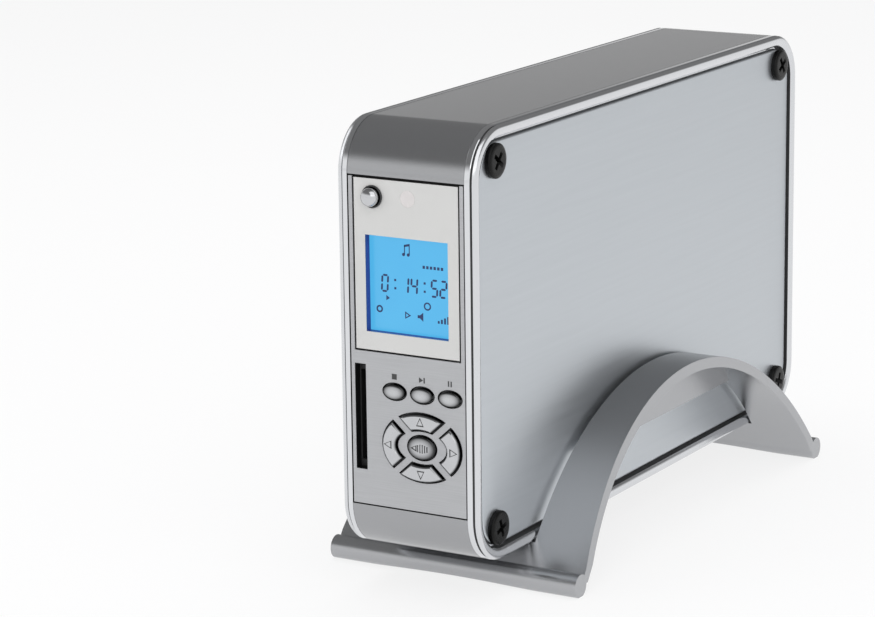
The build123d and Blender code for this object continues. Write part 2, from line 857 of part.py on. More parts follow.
def hdmi_outline(grow):
    """A tall box with its two corners away from the board cut off."""
    with Locations((hdmi_x, hdmi_z)):
        Rectangle(hdmi_width + 2 * grow, hdmi_height + 2 * grow)
        for end in (-1, 1):
            with Locations((hdmi_width / 2 + grow, end * (hdmi_height / 2 + grow))):
                Rectangle(
                    hdmi_chamfer * math.sqrt(2),
                    hdmi_chamfer * math.sqrt(2),
                    rotation=45,
                    mode=Mode.SUBTRACT,
                )


def video_outline(grow):
    """An upright eight-sided port."""
    corner = (video_port_width + 2 * grow) / 3.4
    with BuildSketch(mode=Mode.PRIVATE) as port:
        Rectangle(video_port_width + 2 * grow, video_port_height + 2 * grow)
        chamfer(port.vertices(), corner)
    with Locations((video_port_x, video_port_z)):
        add(port.sketch)


with BuildPart() as rear_panel:
    end_panel(rear_y, -1, bezel_wall)
    with BuildSketch(end_plane(rear_y)):
        with Locations(*jack_places):
            Circle(jack_sleeve_radius + panel_hole_gap)
        with Locations(*panel_screw_places):
            Circle(panel_screw_shank + screw_hole_clearance)
        with Locations((power_socket_x, power_socket_z)):
            Rectangle(
                power_socket_width + 2 * panel_hole_gap,
                power_socket_height + 2 * panel_hole_gap,
            )
        with Locations((usb_x, usb_z)):
            Rectangle(usb_width + 2 * panel_hole_gap, usb_height + 2 * panel_hole_gap)
        with Locations((mini_usb_x, mini_usb_z)):
            Rectangle(
                mini_usb_width + 2 * panel_hole_gap,
                mini_usb_height + 2 * panel_hole_gap,
            )
        hdmi_outline(panel_hole_gap)
        video_outline(panel_hole_gap)
    extrude(amount=bezel_wall, mode=Mode.SUBTRACT)
write(rear_panel, "rear_panel")

block_left = main_board_x
block_right = jack_right_x + jack_flange_radius
block_low = jack_bottom_z - jack_block_margin
block_high = jack_bottom_z + 3 * jack_pitch + jack_block_margin
block_step_z = hdmi_z - hdmi_height / 2 - 2 * jack_flange_wall
block_step_x = hdmi_x + hdmi_width / 2 + jack_flange_wall
with BuildPart() as jack_block:
    with BuildSketch(end_plane(inner_panel_y)):
        with Locations(((block_left + block_right) / 2, (block_low + block_high) / 2)):
            Rectangle(block_right - block_left, block_high - block_low)
        with Locations((block_left, block_step_z)):
            Rectangle(
                block_step_x - block_left,
                block_high - block_step_z,
                align=(Align.MIN, Align.MIN),
                mode=Mode.SUBTRACT,
            )
    extrude(amount=jack_block_depth)
    with BuildSketch(end_plane(inner_panel_y)):
        with Locations(*jack_places):
            Circle(jack_sleeve_radius + plug_fit)
    extrude(amount=jack_neck - bezel_wall, mode=Mode.SUBTRACT)
    with BuildSketch(end_plane(inner_panel_y)):
        with Locations(*panel_screw_places):
            Circle(panel_screw_shank + thread_clearance)
    extrude(amount=panel_screw_length - bezel_wall, mode=Mode.SUBTRACT)
write(jack_block, "jack_block")

with BuildPart() as jack_sleeves:
    with BuildSketch(end_plane(rear_y)):
        with Locations(*jack_places):
            Circle(jack_sleeve_radius)
    extrude(amount=-jack_reach)
    with BuildSketch(end_plane(rear_y)):
        with Locations(*jack_places):
            Circle(jack_sleeve_radius)
    extrude(amount=jack_neck)
    with BuildSketch(end_plane(rear_y)):
        with Locations(*jack_places):
            Circle(jack_flange_radius)
    extrude(amount=-jack_flange_wall)
    with BuildSketch(end_plane(rear_y + jack_reach)):
        with Locations(*jack_places):
            Circle(jack_bore_radius)
    extrude(amount=jack_reach + jack_neck - jack_flange_wall, mode=Mode.SUBTRACT)
write(jack_sleeves, "jack_sleeves")

for places, name in ((jack_right, "right_jack_inserts"), (jack_left, "left_jack_inserts")):
    with BuildPart() as jack_inserts:
        with BuildSketch(end_plane(rear_y + jack_reach - jack_insert_sink)):
            with Locations(*places):
                Circle(jack_bore_radius - jack_insert_gap)
                Circle(jack_pin_radius, mode=Mode.SUBTRACT)
        extrude(amount=jack_reach + jack_neck - jack_flange_wall - jack_insert_sink)
    write(jack_inserts, name)

with BuildPart() as rear_panel_screws:
    with BuildSketch(end_plane(rear_y)):
        with Locations(*panel_screw_places):
            Circle(panel_screw_radius)
    extrude(amount=-panel_screw_height)
    fillet(rear_panel_screws.faces().group_by(Axis.Y)[-1].edges(), panel_screw_height / 2)
    with BuildSketch(end_plane(rear_y)):
        with Locations(*panel_screw_places):
            Circle(panel_screw_shank)
    extrude(amount=panel_screw_length)
    with BuildSketch(end_plane(rear_y + panel_screw_height)):
        with Locations(*panel_screw_places):
            Rectangle(panel_screw_radius, panel_screw_radius / 4)
            Rectangle(panel_screw_radius / 4, panel_screw_radius)
    extrude(amount=panel_screw_height / 2, mode=Mode.SUBTRACT)
write(rear_panel_screws, "rear_panel_screws")

# ---- sockets: shells with a cavity and a tongue, each soldered to its board ----
with BuildPart() as digital_video_socket:
    with BuildSketch(end_plane(rear_y + port_rise)):
        hdmi_outline(0)
    extrude(amount=port_rise + hdmi_depth)
    with BuildSketch(end_plane(rear_y + port_rise)):
        hdmi_outline(-port_wall)
        with Locations((hdmi_x, hdmi_z)):
            Rectangle(tongue_wall, hdmi_height - 3 * tongue_wall, mode=Mode.SUBTRACT)
    extrude(amount=hdmi_depth - port_wall, mode=Mode.SUBTRACT)
    with BuildSketch(end_plane(inner_panel_y)):
        with Locations((main_board_x, hdmi_z)):
            Rectangle(
                hdmi_x - main_board_x,
                hdmi_height - 4 * port_wall,
                align=(Align.MIN, Align.CENTER),
            )
            Rectangle(
                hdmi_x - main_board_x,
                hdmi_height - 8 * port_wall,
                align=(Align.MIN, Align.CENTER),
                mode=Mode.SUBTRACT,
            )
        with Locations((hdmi_x - hdmi_width / 2 + port_wall, hdmi_z)):
            Rectangle(hdmi_width, hdmi_height, align=(Align.MIN, Align.CENTER), mode=Mode.SUBTRACT)
    extrude(amount=hdmi_depth - bezel_wall)
write(digital_video_socket, "digital_video_socket")

with BuildPart() as analogue_video_socket:
    with BuildSketch(end_plane(rear_y + port_rise)):
        video_outline(0)
    extrude(amount=port_rise + mini_depth)
    with BuildSketch(end_plane(rear_y + port_rise)):
        video_outline(-port_wall)
        with Locations((video_port_x, video_port_z)):
            Rectangle(tongue_wall, video_port_height - 4 * port_wall, mode=Mode.SUBTRACT)
    extrude(amount=mini_depth - port_wall, mode=Mode.SUBTRACT)
    with BuildSketch(end_plane(inner_panel_y)):
        with Locations((io_board_x, video_port_z)):
            Rectangle(
                video_port_gap,
                video_port_height / 2,
                align=(Align.MAX, Align.CENTER),
            )
    extrude(amount=mini_depth - bezel_wall)
write(analogue_video_socket, "analogue_video_socket")

with BuildPart() as mini_usb_socket:
    with BuildSketch(end_plane(rear_y + port_rise)):
        with Locations((mini_usb_x, mini_usb_z)):
            Rectangle(mini_usb_width, mini_usb_height)
    extrude(amount=port_rise + mini_depth)
    with BuildSketch(end_plane(rear_y + port_rise)):
        with Locations((mini_usb_x, mini_usb_z)):
            Rectangle(mini_usb_width - 2 * port_wall, mini_usb_height - 2 * port_wall)
            Rectangle(tongue_wall / 2, mini_usb_height / 2, mode=Mode.SUBTRACT)
    extrude(amount=mini_depth - port_wall, mode=Mode.SUBTRACT)
    with BuildSketch(end_plane(inner_panel_y)):
        with Locations((main_board_x, mini_usb_z)):
            Rectangle(
                mini_usb_x - mini_usb_width / 2 - main_board_x,
                mini_usb_height / 2,
                align=(Align.MIN, Align.CENTER),
            )
    extrude(amount=mini_depth - bezel_wall)
write(mini_usb_socket, "mini_usb_socket")

with BuildPart() as usb_socket:
    with BuildSketch(end_plane(rear_y + port_rise)):
        with Locations((usb_x, usb_z)):
            Rectangle(usb_width, usb_height)
    extrude(amount=port_rise + usb_depth)
    with BuildSketch(end_plane(rear_y + port_rise)):
        with Locations((usb_x, usb_z)):
            Rectangle(usb_width - 2 * port_wall, usb_height - 2 * port_wall)
        with Locations((usb_x + plug_key, usb_z)):
            Rectangle(tongue_wall, usb_height - 4 * port_wall, mode=Mode.SUBTRACT)
    extrude(amount=usb_depth - port_wall, mode=Mode.SUBTRACT)
write(usb_socket, "usb_socket")

with BuildPart() as power_socket:
    with BuildSketch(end_plane(rear_y + port_rise)):
        with Locations((power_socket_x, power_socket_z)):
            Rectangle(power_socket_width, power_socket_height)
            Circle(power_socket_radius, mode=Mode.SUBTRACT)
            with PolarLocations(power_socket_radius / 2, 4, start_angle=45):
                Circle(power_socket_radius / 9)
    extrude(amount=power_socket_bore)
    with BuildSketch(end_plane(rear_y + port_rise - power_socket_bore)):
        with Locations((power_socket_x, power_socket_z)):
            Rectangle(power_socket_width, power_socket_height)
    extrude(amount=power_socket_depth - power_socket_bore)
write(power_socket, "power_socket")

# ---- boards: the main board on its standoffs, the small board beside the tray ----
main_board_front = front_y + main_board_set_back
main_board_rear = inner_panel_y - panel_gap
board_height = case_height - 2 * main_board_margin
board_screw_places = [
    (sy * (case_length / 2 - board_screw_y), sz * (case_height / 2 - board_screw_z))
    for sy in (-1, 1)
    for sz in (-1, 1)
]
board_mid = (main_board_front + main_board_rear) / 2 - case_y
with BuildPart() as main_board:
    with BuildSketch(side_plane(main_board_back_x)):
        with Locations((board_mid, 0)):
            Rectangle(main_board_rear - main_board_front, board_height)
        with Locations(*board_screw_places):
            Circle(board_screw_radius + screw_hole_clearance, mode=Mode.SUBTRACT)
    extrude(amount=board_wall)
write(main_board, "main_board")

io_board_length = usb_depth - bezel_wall
io_board_top = video_port_z + video_port_height / 2
io_board_bottom = usb_z - usb_height / 2
with BuildPart() as io_board:
    with BuildSketch(end_plane(inner_panel_y)):
        with Locations((io_board_x, (io_board_top + io_board_bottom) / 2)):
            Rectangle(
                board_wall,
                io_board_top - io_board_bottom,
                align=(Align.MIN, Align.CENTER),
            )
    extrude(amount=io_board_length)
write(io_board, "io_board")

chip_places = [(-46.0, 30.0), (-46.0, 8.0), (30.0, 34.0), (30.0, -34.0), (58.0, 0.0)]
with BuildPart() as board_chips:
    with BuildSketch(side_plane(main_board_back_x)):
        with Locations(*chip_places):
            Rectangle(sink_size / 2, sink_size / 2)
    extrude(amount=-chip_height)
write(board_chips, "board_chips")

with BuildPart() as heat_sink:
    with BuildSketch(side_plane(main_board_back_x)):
        Rectangle(sink_size, sink_size)
    extrude(amount=-chip_height)
    with BuildSketch(side_plane(main_board_back_x - chip_height)):
        with GridLocations(0, sink_size / sink_fins, 1, sink_fins):
            Rectangle(sink_size, sink_size / sink_fins / 2)
    extrude(amount=-(sink_height - chip_height))
write(heat_sink, "heat_sink")

with BuildPart() as board_screws:
    with BuildSketch(side_plane(main_board_x)):
        with Locations(*board_screw_places):
            Circle(board_screw_head)
    extrude(amount=small_head_height)
    with BuildSketch(side_plane(main_board_x)):
        with Locations(*board_screw_places):
            Circle(board_screw_radius)
    extrude(amount=-small_shank_length)
write(board_screws, "board_screws")

# ---- chassis: the sheet under the left side plate, with the standoffs ----
inner_plate_length = case_length - 2 * inner_plate_set_back
inner_plate_height = case_height - 2 * inner_plate_margin
with BuildPart() as chassis:
    with BuildSketch(side_plane(-rim_inner_x)):
        Rectangle(inner_plate_length, inner_plate_height)
    extrude(amount=inner_plate_wall)
    with BuildSketch(side_plane(-inner_plate_x)):
        with Locations(*board_screw_places):
            Circle(standoff_radius)
    extrude(amount=main_board_back_x + inner_plate_x)
    with BuildSketch(side_plane(-rim_inner_x)):
        with Locations(*screw_places):
            Circle(screw_shank_radius + screw_hole_clearance)
    extrude(amount=inner_plate_wall, mode=Mode.SUBTRACT)
    with BuildSketch(side_plane(main_board_back_x)):
        with Locations(*board_screw_places):
            Circle(board_screw_radius + thread_clearance)
    extrude(amount=-small_shank_length, mode=Mode.SUBTRACT)
write(chassis, "chassis")

# ---- drive tray: a channel that hangs from the upper cover and holds the drive ----
drive_mid = (drive_front + drive_rear) / 2 - case_y
drive_mid_up = drive_mid_z - case_height / 2
drive_hole_x = drive_x + drive_hole_up
drive_holes = [
    (drive_hole_x, drive_front + drive_hole_first + step * drive_hole_pitch)
    for step in (0, 1)
]
flange_out = drive_width / 2 + tray_wall
with BuildPart() as drive_tray:
    with BuildSketch(side_plane(tray_x)):
        with Locations((drive_mid, drive_mid_up)):
            Rectangle(drive_length, 2 * flange_out)
    extrude(amount=tray_wall)
    with BuildSketch(side_plane(tray_x)):
        with Locations((drive_mid, drive_mid_up)):
            Rectangle(drive_length, 2 * flange_out)
            Rectangle(drive_length, drive_width, mode=Mode.SUBTRACT)
    extrude(amount=-tray_flange_reach)
    with BuildSketch(flat_plane(tray_top)):
        with Locations((tray_boss_x, (drive_front + drive_rear) / 2)):
            Rectangle(tray_tab_width, drive_length + 2 * tray_tab)
        with Locations(*tray_boss_places):
            Circle(small_shank_radius + screw_hole_clearance, mode=Mode.SUBTRACT)
    extrude(amount=-tray_wall)
    with BuildSketch(flat_plane(drive_bottom - tray_wall)):
        with Locations(*drive_holes):
            Circle(drive_screw_radius + screw_hole_clearance)
    extrude(amount=drive_width + 2 * tray_wall, mode=Mode.SUBTRACT)
write(drive_tray, "drive_tray")

with BuildPart() as tray_screws:
    with BuildSketch(flat_plane(tray_top - tray_wall)):
        with Locations(*tray_boss_places):
            Circle(small_head_radius)
    extrude(amount=-small_head_height)
    with BuildSketch(flat_plane(tray_top - tray_wall)):
        with Locations(*tray_boss_places):
            Circle(small_shank_radius)
    extrude(amount=small_shank_length)
write(tray_screws, "tray_screws")

with BuildPart() as drive_screws:
    for end in (-1, 1):
        seat_z = drive_mid_z + end * flange_out
        with BuildSketch(flat_plane(seat_z)):
            with Locations(*drive_holes):
                Circle(drive_screw_head)
        extrude(amount=end * drive_screw_height)
        with BuildSketch(flat_plane(seat_z)):
            with Locations(*drive_holes):
                Circle(drive_screw_radius)
        extrude(amount=-end * drive_screw_length)
write(drive_screws, "drive_screws")

# ---- hard drive: a casting with a lid on one side and its board on the other ----
casting_height = drive_height - drive_lid_wall
with BuildPart() as hard_drive:
    with BuildSketch(side_plane(drive_x)):
        with Locations((drive_mid, drive_mid_up)):
            Rectangle(drive_length, drive_width)
    extrude(amount=casting_height)
    with BuildSketch(side_plane(drive_x + casting_height)):
        with Locations((drive_mid, drive_mid_up)):
            RectangleRounded(
                drive_length - 2 * drive_wall,
                drive_width - 2 * drive_wall,
                2 * drive_wall,
            )
    extrude(amount=drive_floor + drive_board_wall - casting_height, mode=Mode.SUBTRACT)
    with BuildSketch(side_plane(drive_x)):
        with Locations((drive_mid - drive_board_margin, drive_mid_up)):
            Rectangle(drive_length, drive_width - 2 * drive_board_margin)
    extrude(amount=drive_board_wall + drive_board_sink, mode=Mode.SUBTRACT)
    with BuildSketch(flat_plane(drive_bottom)):
        with Locations(*drive_holes):
            Circle(drive_screw_radius + thread_clearance)
    extrude(amount=drive_screw_length - tray_wall, mode=Mode.SUBTRACT)
    with BuildSketch(flat_plane(drive_bottom + drive_width)):
        with Locations(*drive_holes):
            Circle(drive_screw_radius + thread_clearance)
    extrude(amount=-(drive_screw_length - tray_wall), mode=Mode.SUBTRACT)
write(hard_drive, "hard_drive")

with BuildPart() as drive_lid:
    with BuildSketch(side_plane(drive_x + casting_height)):
        with Locations((drive_mid, drive_mid_up)):
            RectangleRounded(drive_length - drive_wall, drive_width - drive_wall, drive_wall)
    extrude(amount=drive_lid_wall)
write(drive_lid, "drive_lid")

drive_board_length = drive_length - drive_board_margin - panel_gap
with BuildPart() as drive_board:
    with BuildSketch(side_plane(drive_x + drive_board_sink)):
        with Locations((drive_front - case_y, drive_mid_up)):
            Rectangle(
                drive_board_length,
                drive_width - 2 * drive_board_margin - 2 * panel_gap,
                align=(Align.MIN, Align.CENTER),
            )
    extrude(amount=drive_board_wall)
write(drive_board, "drive_board")

# ---- leads: cables with a plug at each end, and the headers they push on to ----
plug_shoulder_x = main_board_x + header_height
plug_top_x = plug_shoulder_x + plug_height
front_lead_y = board_back_y + front_header_height + front_lead_bend
front_lead_x = plug_top_x + front_lead_bend + plug_fit
drive_plug_x = drive_x + drive_board_sink + drive_board_wall + drive_plug_height / 2
drive_cord_y = drive_front - drive_plug_depth - drive_cord_bend
drive_header_reach = drive_plug_x + drive_plug_height / 2 - main_board_x
drive_plug_top = drive_header_z + plug_height
front_place = (front_lead_y - case_y, front_lead_z - case_height / 2)
with BuildPart() as board_headers:
    with BuildSketch(side_plane(main_board_x)):
        with Locations(front_place):
            Rectangle(header_depth, front_lead_width + 4 * header_wall)
    extrude(amount=header_height)
    with BuildSketch(side_plane(plug_shoulder_x)):
        with Locations(front_place):
            Rectangle(header_depth - 2 * header_wall, front_lead_width + 2 * header_wall)
    extrude(amount=-header_cavity, mode=Mode.SUBTRACT)
    with BuildSketch(flat_plane(drive_header_z)):
        with Locations((main_board_x, drive_cord_y)):
            Rectangle(drive_header_reach, header_depth, align=(Align.MIN, Align.CENTER))
    extrude(amount=-drive_header_height)
    with BuildSketch(flat_plane(drive_header_z)):
        with Locations((drive_plug_x, drive_cord_y)):
            Rectangle(drive_plug_height - 2 * header_wall, header_depth - 2 * header_wall)
    extrude(amount=-header_cavity, mode=Mode.SUBTRACT)
write(board_headers, "board_headers")

plug_inset = 2 * header_wall + 2 * plug_fit
with BuildPart() as drive_lead:
    with BuildSketch(flat_plane(drive_header_z)):
        with Locations((drive_plug_x, drive_cord_y)):
            Rectangle(drive_plug_height - plug_inset, header_depth - plug_inset)
    extrude(amount=-(header_cavity - plug_fit))
    with BuildSketch(flat_plane(drive_header_z)):
        with Locations((drive_plug_x, drive_cord_y)):
            Rectangle(drive_plug_height, header_depth)
    extrude(amount=plug_height)
    with BuildSketch(end_plane(drive_front)):
        with Locations((drive_plug_x, drive_plug_z)):
            Rectangle(drive_plug_height, drive_plug_width)
    extrude(amount=drive_plug_depth)
    cord_plane = Plane(
        origin=(drive_plug_x, 0, case_bottom), x_dir=(0, 1, 0), z_dir=(1, 0, 0)
    )
    with BuildLine(cord_plane) as cord:
        FilletPolyline(
            (drive_front - drive_plug_depth + plug_fit, drive_plug_z),
            (drive_cord_y, drive_plug_z),
            (drive_cord_y, drive_plug_top - plug_fit),
            radius=drive_cord_bend,
        )
    with BuildSketch(Plane(origin=cord.line @ 0, z_dir=cord.line % 0)):
        Circle(drive_cord_radius)
    sweep(path=cord.line)
write(drive_lead, "drive_lead")

with BuildPart() as front_lead:
    with BuildSketch(side_plane(plug_shoulder_x)):
        with Locations(front_place):
            Rectangle(
                header_depth - plug_inset,
                front_lead_width + 2 * header_wall - 2 * plug_fit,
            )
    extrude(amount=-(header_cavity - plug_fit))
    with BuildSketch(side_plane(plug_shoulder_x)):
        with Locations(front_place):
            Rectangle(header_depth, front_lead_width + 4 * header_wall)
    extrude(amount=plug_height)
    with BuildSketch(end_plane(board_back_y)):
        with Locations((front_lead_x, front_lead_z)):
            Rectangle(header_depth, front_lead_width + 2 * header_wall)
    extrude(amount=-front_header_height)
    with BuildLine(flat_plane(front_lead_z - front_lead_width / 2)) as run:
        FilletPolyline(
            (front_lead_x, board_back_y + front_header_height - plug_fit),
            (front_lead_x, front_lead_y),
            (plug_top_x - plug_fit, front_lead_y),
            radius=front_lead_bend,
        )
    with BuildSketch(flat_plane(front_lead_z - front_lead_width / 2)):
        trace(run.line, line_width=cable_wall)
    extrude(amount=front_lead_width)
write(front_lead, "front_lead")
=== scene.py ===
import math

import bpy
from mathutils import Matrix, Vector


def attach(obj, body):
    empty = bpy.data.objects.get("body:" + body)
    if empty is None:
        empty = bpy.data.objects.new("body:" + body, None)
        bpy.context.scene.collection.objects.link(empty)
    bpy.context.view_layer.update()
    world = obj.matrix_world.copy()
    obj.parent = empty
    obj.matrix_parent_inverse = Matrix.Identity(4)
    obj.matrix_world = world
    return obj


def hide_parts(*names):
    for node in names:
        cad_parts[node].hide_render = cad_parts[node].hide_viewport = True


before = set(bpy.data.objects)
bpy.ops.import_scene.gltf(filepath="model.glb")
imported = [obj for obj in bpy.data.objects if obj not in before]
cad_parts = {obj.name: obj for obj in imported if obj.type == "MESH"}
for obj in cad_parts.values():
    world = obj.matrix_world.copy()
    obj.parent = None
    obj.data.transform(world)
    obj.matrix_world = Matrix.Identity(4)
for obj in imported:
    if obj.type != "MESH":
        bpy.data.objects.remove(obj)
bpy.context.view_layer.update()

# ---------------------------------------------------------------- stand
# One arched piece, cast in light metal and painted satin silver. Its straight legs end
# in round bars that stand on the table. A slot through the arch takes the casing, and
# two skirts hang beside the slot to steady it.
mm = 0.001
casing_low = 11 * mm
stand_y = -1.4 * mm
arch_radius = 88.6 * mm
arch_top = 46.2 * mm
arch_turn = math.radians(54.7)
arch_wall = 3.0 * mm
stand_half_top = 32.8 * mm
stand_half_foot = 38.4 * mm
foot_height = 7.0 * mm
foot_bar_radius = 3.25 * mm
foot_bar_y = 76.8 * mm
foot_bar_z = 3.0 * mm
slot_half = 21.25 * mm
skirt_wall = 2.0 * mm
skirt_bottom = 29.6 * mm
stand_edge = 0.65 * mm
arch_steps = 48
relief_radius = 338.5 * mm
relief_z = -337.5 * mm
foot_flat = 0.004 * mm
cut_reach = 0.2


class Wire:
    """A shader socket that can be used in Python sums; each sum adds a Math node."""

    def __init__(self, finish, socket):
        self.finish = finish
        self.socket = socket

    def maths(self, operation, first, second):
        """One Math node on two values."""
        settings = {"operation": operation}
        return self.finish.add("ShaderNodeMath", settings, {0: first, 1: second})["Value"]

    def __add__(self, other):
        return self.maths("ADD", self, other)

    def __radd__(self, other):
        return self.maths("ADD", other, self)

    def __sub__(self, other):
        return self.maths("SUBTRACT", self, other)

    def __rsub__(self, other):
        return self.maths("SUBTRACT", other, self)

    def __mul__(self, other):
        return self.maths("MULTIPLY", self, other)

    def __rmul__(self, other):
        return self.maths("MULTIPLY", other, self)

    def __gt__(self, other):
        return self.maths("GREATER_THAN", self, other)

    def __lt__(self, other):
        return self.maths("LESS_THAN", self, other)

    def __abs__(self):
        return self.finish.add("ShaderNodeMath", {"operation": "ABSOLUTE"}, {0: self})["Value"]


class Finish:
    """One surface finish: a material with its shader, and a method that adds nodes."""

    def __init__(self, name, **constants):
        self.material = bpy.data.materials.new(name)
        self.material.use_nodes = True
        self.tree = self.material.node_tree
        self.shader = self.tree.nodes["Principled BSDF"]
        for label, value in constants.items():
            self.shader.inputs[label.replace("_", " ")].default_value = value

    def add(self, kind, settings, inputs):
        """Adds a node, settings first, then its sockets; returns its outputs by name."""
        node = self.tree.nodes.new(kind)
        for label, value in settings.items():
            setattr(node, label, value)
        for label, value in inputs.items():
            self.join(value, node.inputs[label])
        return {output.name: Wire(self, output) for output in node.outputs}

    def join(self, value, socket):
        """Links a wire to a socket, or writes a plain value in it."""
        if isinstance(value, Wire):
            self.tree.links.new(value.socket, socket)
        else:
            socket.default_value = value

    def feed(self, label, value):
        """Joins a value or a wire to the shader's own socket."""
        self.join(value, self.shader.inputs[label])

    def place(self, scale=(1, 1, 1)):
        """Object coordinates, stretched by a scale along each axis."""
        spot = self.add("ShaderNodeTexCoord", {}, {})["Object"]
        return self.add("ShaderNodeMapping", {}, {"Vector": spot, "Scale": scale})["Vector"]

    def axes(self):
        """The Object coordinates X, Y and Z, each by itself."""
        spot = self.add("ShaderNodeTexCoord", {}, {})["Object"]
        return self.add("ShaderNodeSeparateXYZ", {}, {"Vector": spot})

    def noise(self, scale, detail=2.0, stretch=(1, 1, 1)):
        """Cloudy noise from 0 to 1; scale is in repeats a metre."""
        inputs = {"Vector": self.place(stretch), "Scale": scale, "Detail": detail}
        return self.add("ShaderNodeTexNoise", {}, inputs)["Fac"]

    def blend(self, factor, first, second):
        """A colour between two, by a factor."""
        node = self.tree.nodes.new("ShaderNodeMix")
        node.data_type = "RGBA"
        for number, value in ((0, factor), (6, first), (7, second)):
            self.join(value, node.inputs[number])
        return Wire(self, node.outputs[2])

    def uneven(self, scale, spread, least, detail=2.0, stretch=(1, 1, 1)):
        """Roughness that wanders from least to least and spread."""
        self.feed("Roughness", self.noise(scale, detail, stretch) * spread + least)

    def mottled(self, scale, first, second):
        """A base colour that wanders between two."""
        self.feed("Base Color", self.blend(self.noise(scale), first, second))

    def rough(self, height, strength, distance):
        """Raises the surface by a height, through a Bump node."""
        inputs = {"Height": height, "Strength": strength, "Distance": distance}
        self.feed("Normal", self.add("ShaderNodeBump", {}, inputs)["Normal"])


def silver(shade):
    """A grey of the given shade, a touch on the cool side."""
    return (shade * 0.985, shade, shade * 1.03, 1)


def clear_choice():
    """Leaves edit mode and deselects everything."""
    if bpy.context.object and bpy.context.object.mode == "EDIT":
        bpy.ops.object.mode_set(mode="OBJECT")
    bpy.ops.object.select_all(action="DESELECT")


def take(piece):
    """Makes one piece the only one selected."""
    clear_choice()
    piece.select_set(True)
    bpy.context.view_layer.objects.active = piece


def edit(piece, choice="SELECT"):
    """Opens one piece in edit mode, with all of it selected; DESELECT leaves nothing selected."""
    take(piece)
    bpy.ops.object.mode_set(mode="EDIT")
    bpy.ops.mesh.select_all(action=choice)


def outline(name, points, closed=True):
    """Draws a wire from point to point; a closed one is filled with a face."""
    clear_choice()
    bpy.ops.mesh.primitive_plane_add(size=mm, location=points[0])
    piece = bpy.context.object
    piece.name = name
    bpy.ops.object.transform_apply(location=True, rotation=True, scale=True)
    bpy.ops.object.mode_set(mode="EDIT")
    bpy.ops.mesh.select_mode(type="VERT")
    bpy.ops.mesh.select_all(action="SELECT")
    bpy.ops.mesh.merge(type="CENTER")
    for start, end in zip(points, points[1:]):
        step = Vector(end) - Vector(start)
        bpy.ops.mesh.extrude_region_move(TRANSFORM_OT_translate={"value": step})
    bpy.ops.mesh.select_all(action="SELECT")
    if closed:
        bpy.ops.mesh.edge_face_add()
    return piece


def push(step):
    """Extrudes what is selected by a step."""
    bpy.ops.mesh.extrude_region_move(TRANSFORM_OT_translate={"value": Vector(step)})


def arc(centre, radius, start, end, steps):
    """Points on an arc in a plane, as pairs; angles in degrees."""
    turn = [math.radians(start + (end - start) * i / steps) for i in range(steps + 1)]
    return [(centre[0] + radius * math.cos(a), centre[1] + radius * math.sin(a)) for a in turn]


def settle(name):
    """Applies the new piece's place, names it and returns it."""
    bpy.ops.object.transform_apply(location=True, rotation=True, scale=True)
    bpy.context.object.name = name
    return bpy.context.object


def box(name, low, high):
    """A block between two corners."""
    clear_choice()
    middle = (Vector(low) + Vector(high)) / 2
    bpy.ops.mesh.primitive_cube_add(size=1, location=middle, scale=Vector(high) - Vector(low))
    return settle(name)


def rod(name, start, end, radius, sides=48):
    """A round bar between two points."""
    clear_choice()
    run = Vector(end) - Vector(start)
    bpy.ops.mesh.primitive_cylinder_add(
        vertices=sides,
        radius=radius,
        depth=run.length,
        location=(Vector(start) + Vector(end)) / 2,
        rotation=run.to_track_quat("Z", "Y").to_euler(),
    )
    return settle(name)


def combine(piece, tool, operation):
    """Adds, cuts or keeps the tool's volume, and removes the tool."""
    take(piece)
    cut = piece.modifiers.new("cut", "BOOLEAN")
    cut.operation = operation
    cut.object = tool
    cut.solver = "EXACT"
    bpy.ops.object.modifier_apply(modifier=cut.name)
    bpy.data.objects.remove(tool, do_unlink=True)


def face_out(piece):
    """Merges doubles and points every face outwards."""
    edit(piece)
    bpy.ops.mesh.remove_doubles(threshold=0.001 * mm)
    bpy.ops.mesh.normals_make_consistent(inside=False)
    bpy.ops.object.mode_set(mode="OBJECT")


def soften(piece, width, segments=3, angle=30):
    """Rounds the sharp edges and shades the rest smooth, with flat faces left flat."""
    take(piece)
    if width:
        edge = piece.modifiers.new("edge", "BEVEL")
        edge.width = width
        edge.segments = segments
        edge.limit_method = "ANGLE"
        edge.angle_limit = math.radians(angle)
        bpy.ops.object.modifier_apply(modifier=edge.name)
    bpy.ops.object.shade_smooth_by_angle(angle=math.radians(35))
    flat = piece.modifiers.new("flat", "WEIGHTED_NORMAL")
    flat.keep_sharp = True
    bpy.ops.object.modifier_apply(modifier=flat.name)


def paint(piece, finish):
    """Gives the whole piece one finish."""
    piece.data.materials.clear()
    piece.data.materials.append(finish.material)


def stand_in(piece, node, finish, body="player"):
    """Paints a piece and lets it take its CAD node's place."""
    paint(piece, finish)
    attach(piece, body)
    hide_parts(node)


arch_centre = (0, arch_top - arch_radius)
turn = math.degrees(arch_turn)


def leg_end(radius, side):
    """Where the leg of an arch line reaches the middle of its foot bar."""
    y, z = radius * math.sin(arch_turn), arch_centre[1] + radius * math.cos(arch_turn)
    return side * (y + (z - foot_bar_z) / math.tan(arch_turn)), foot_bar_z


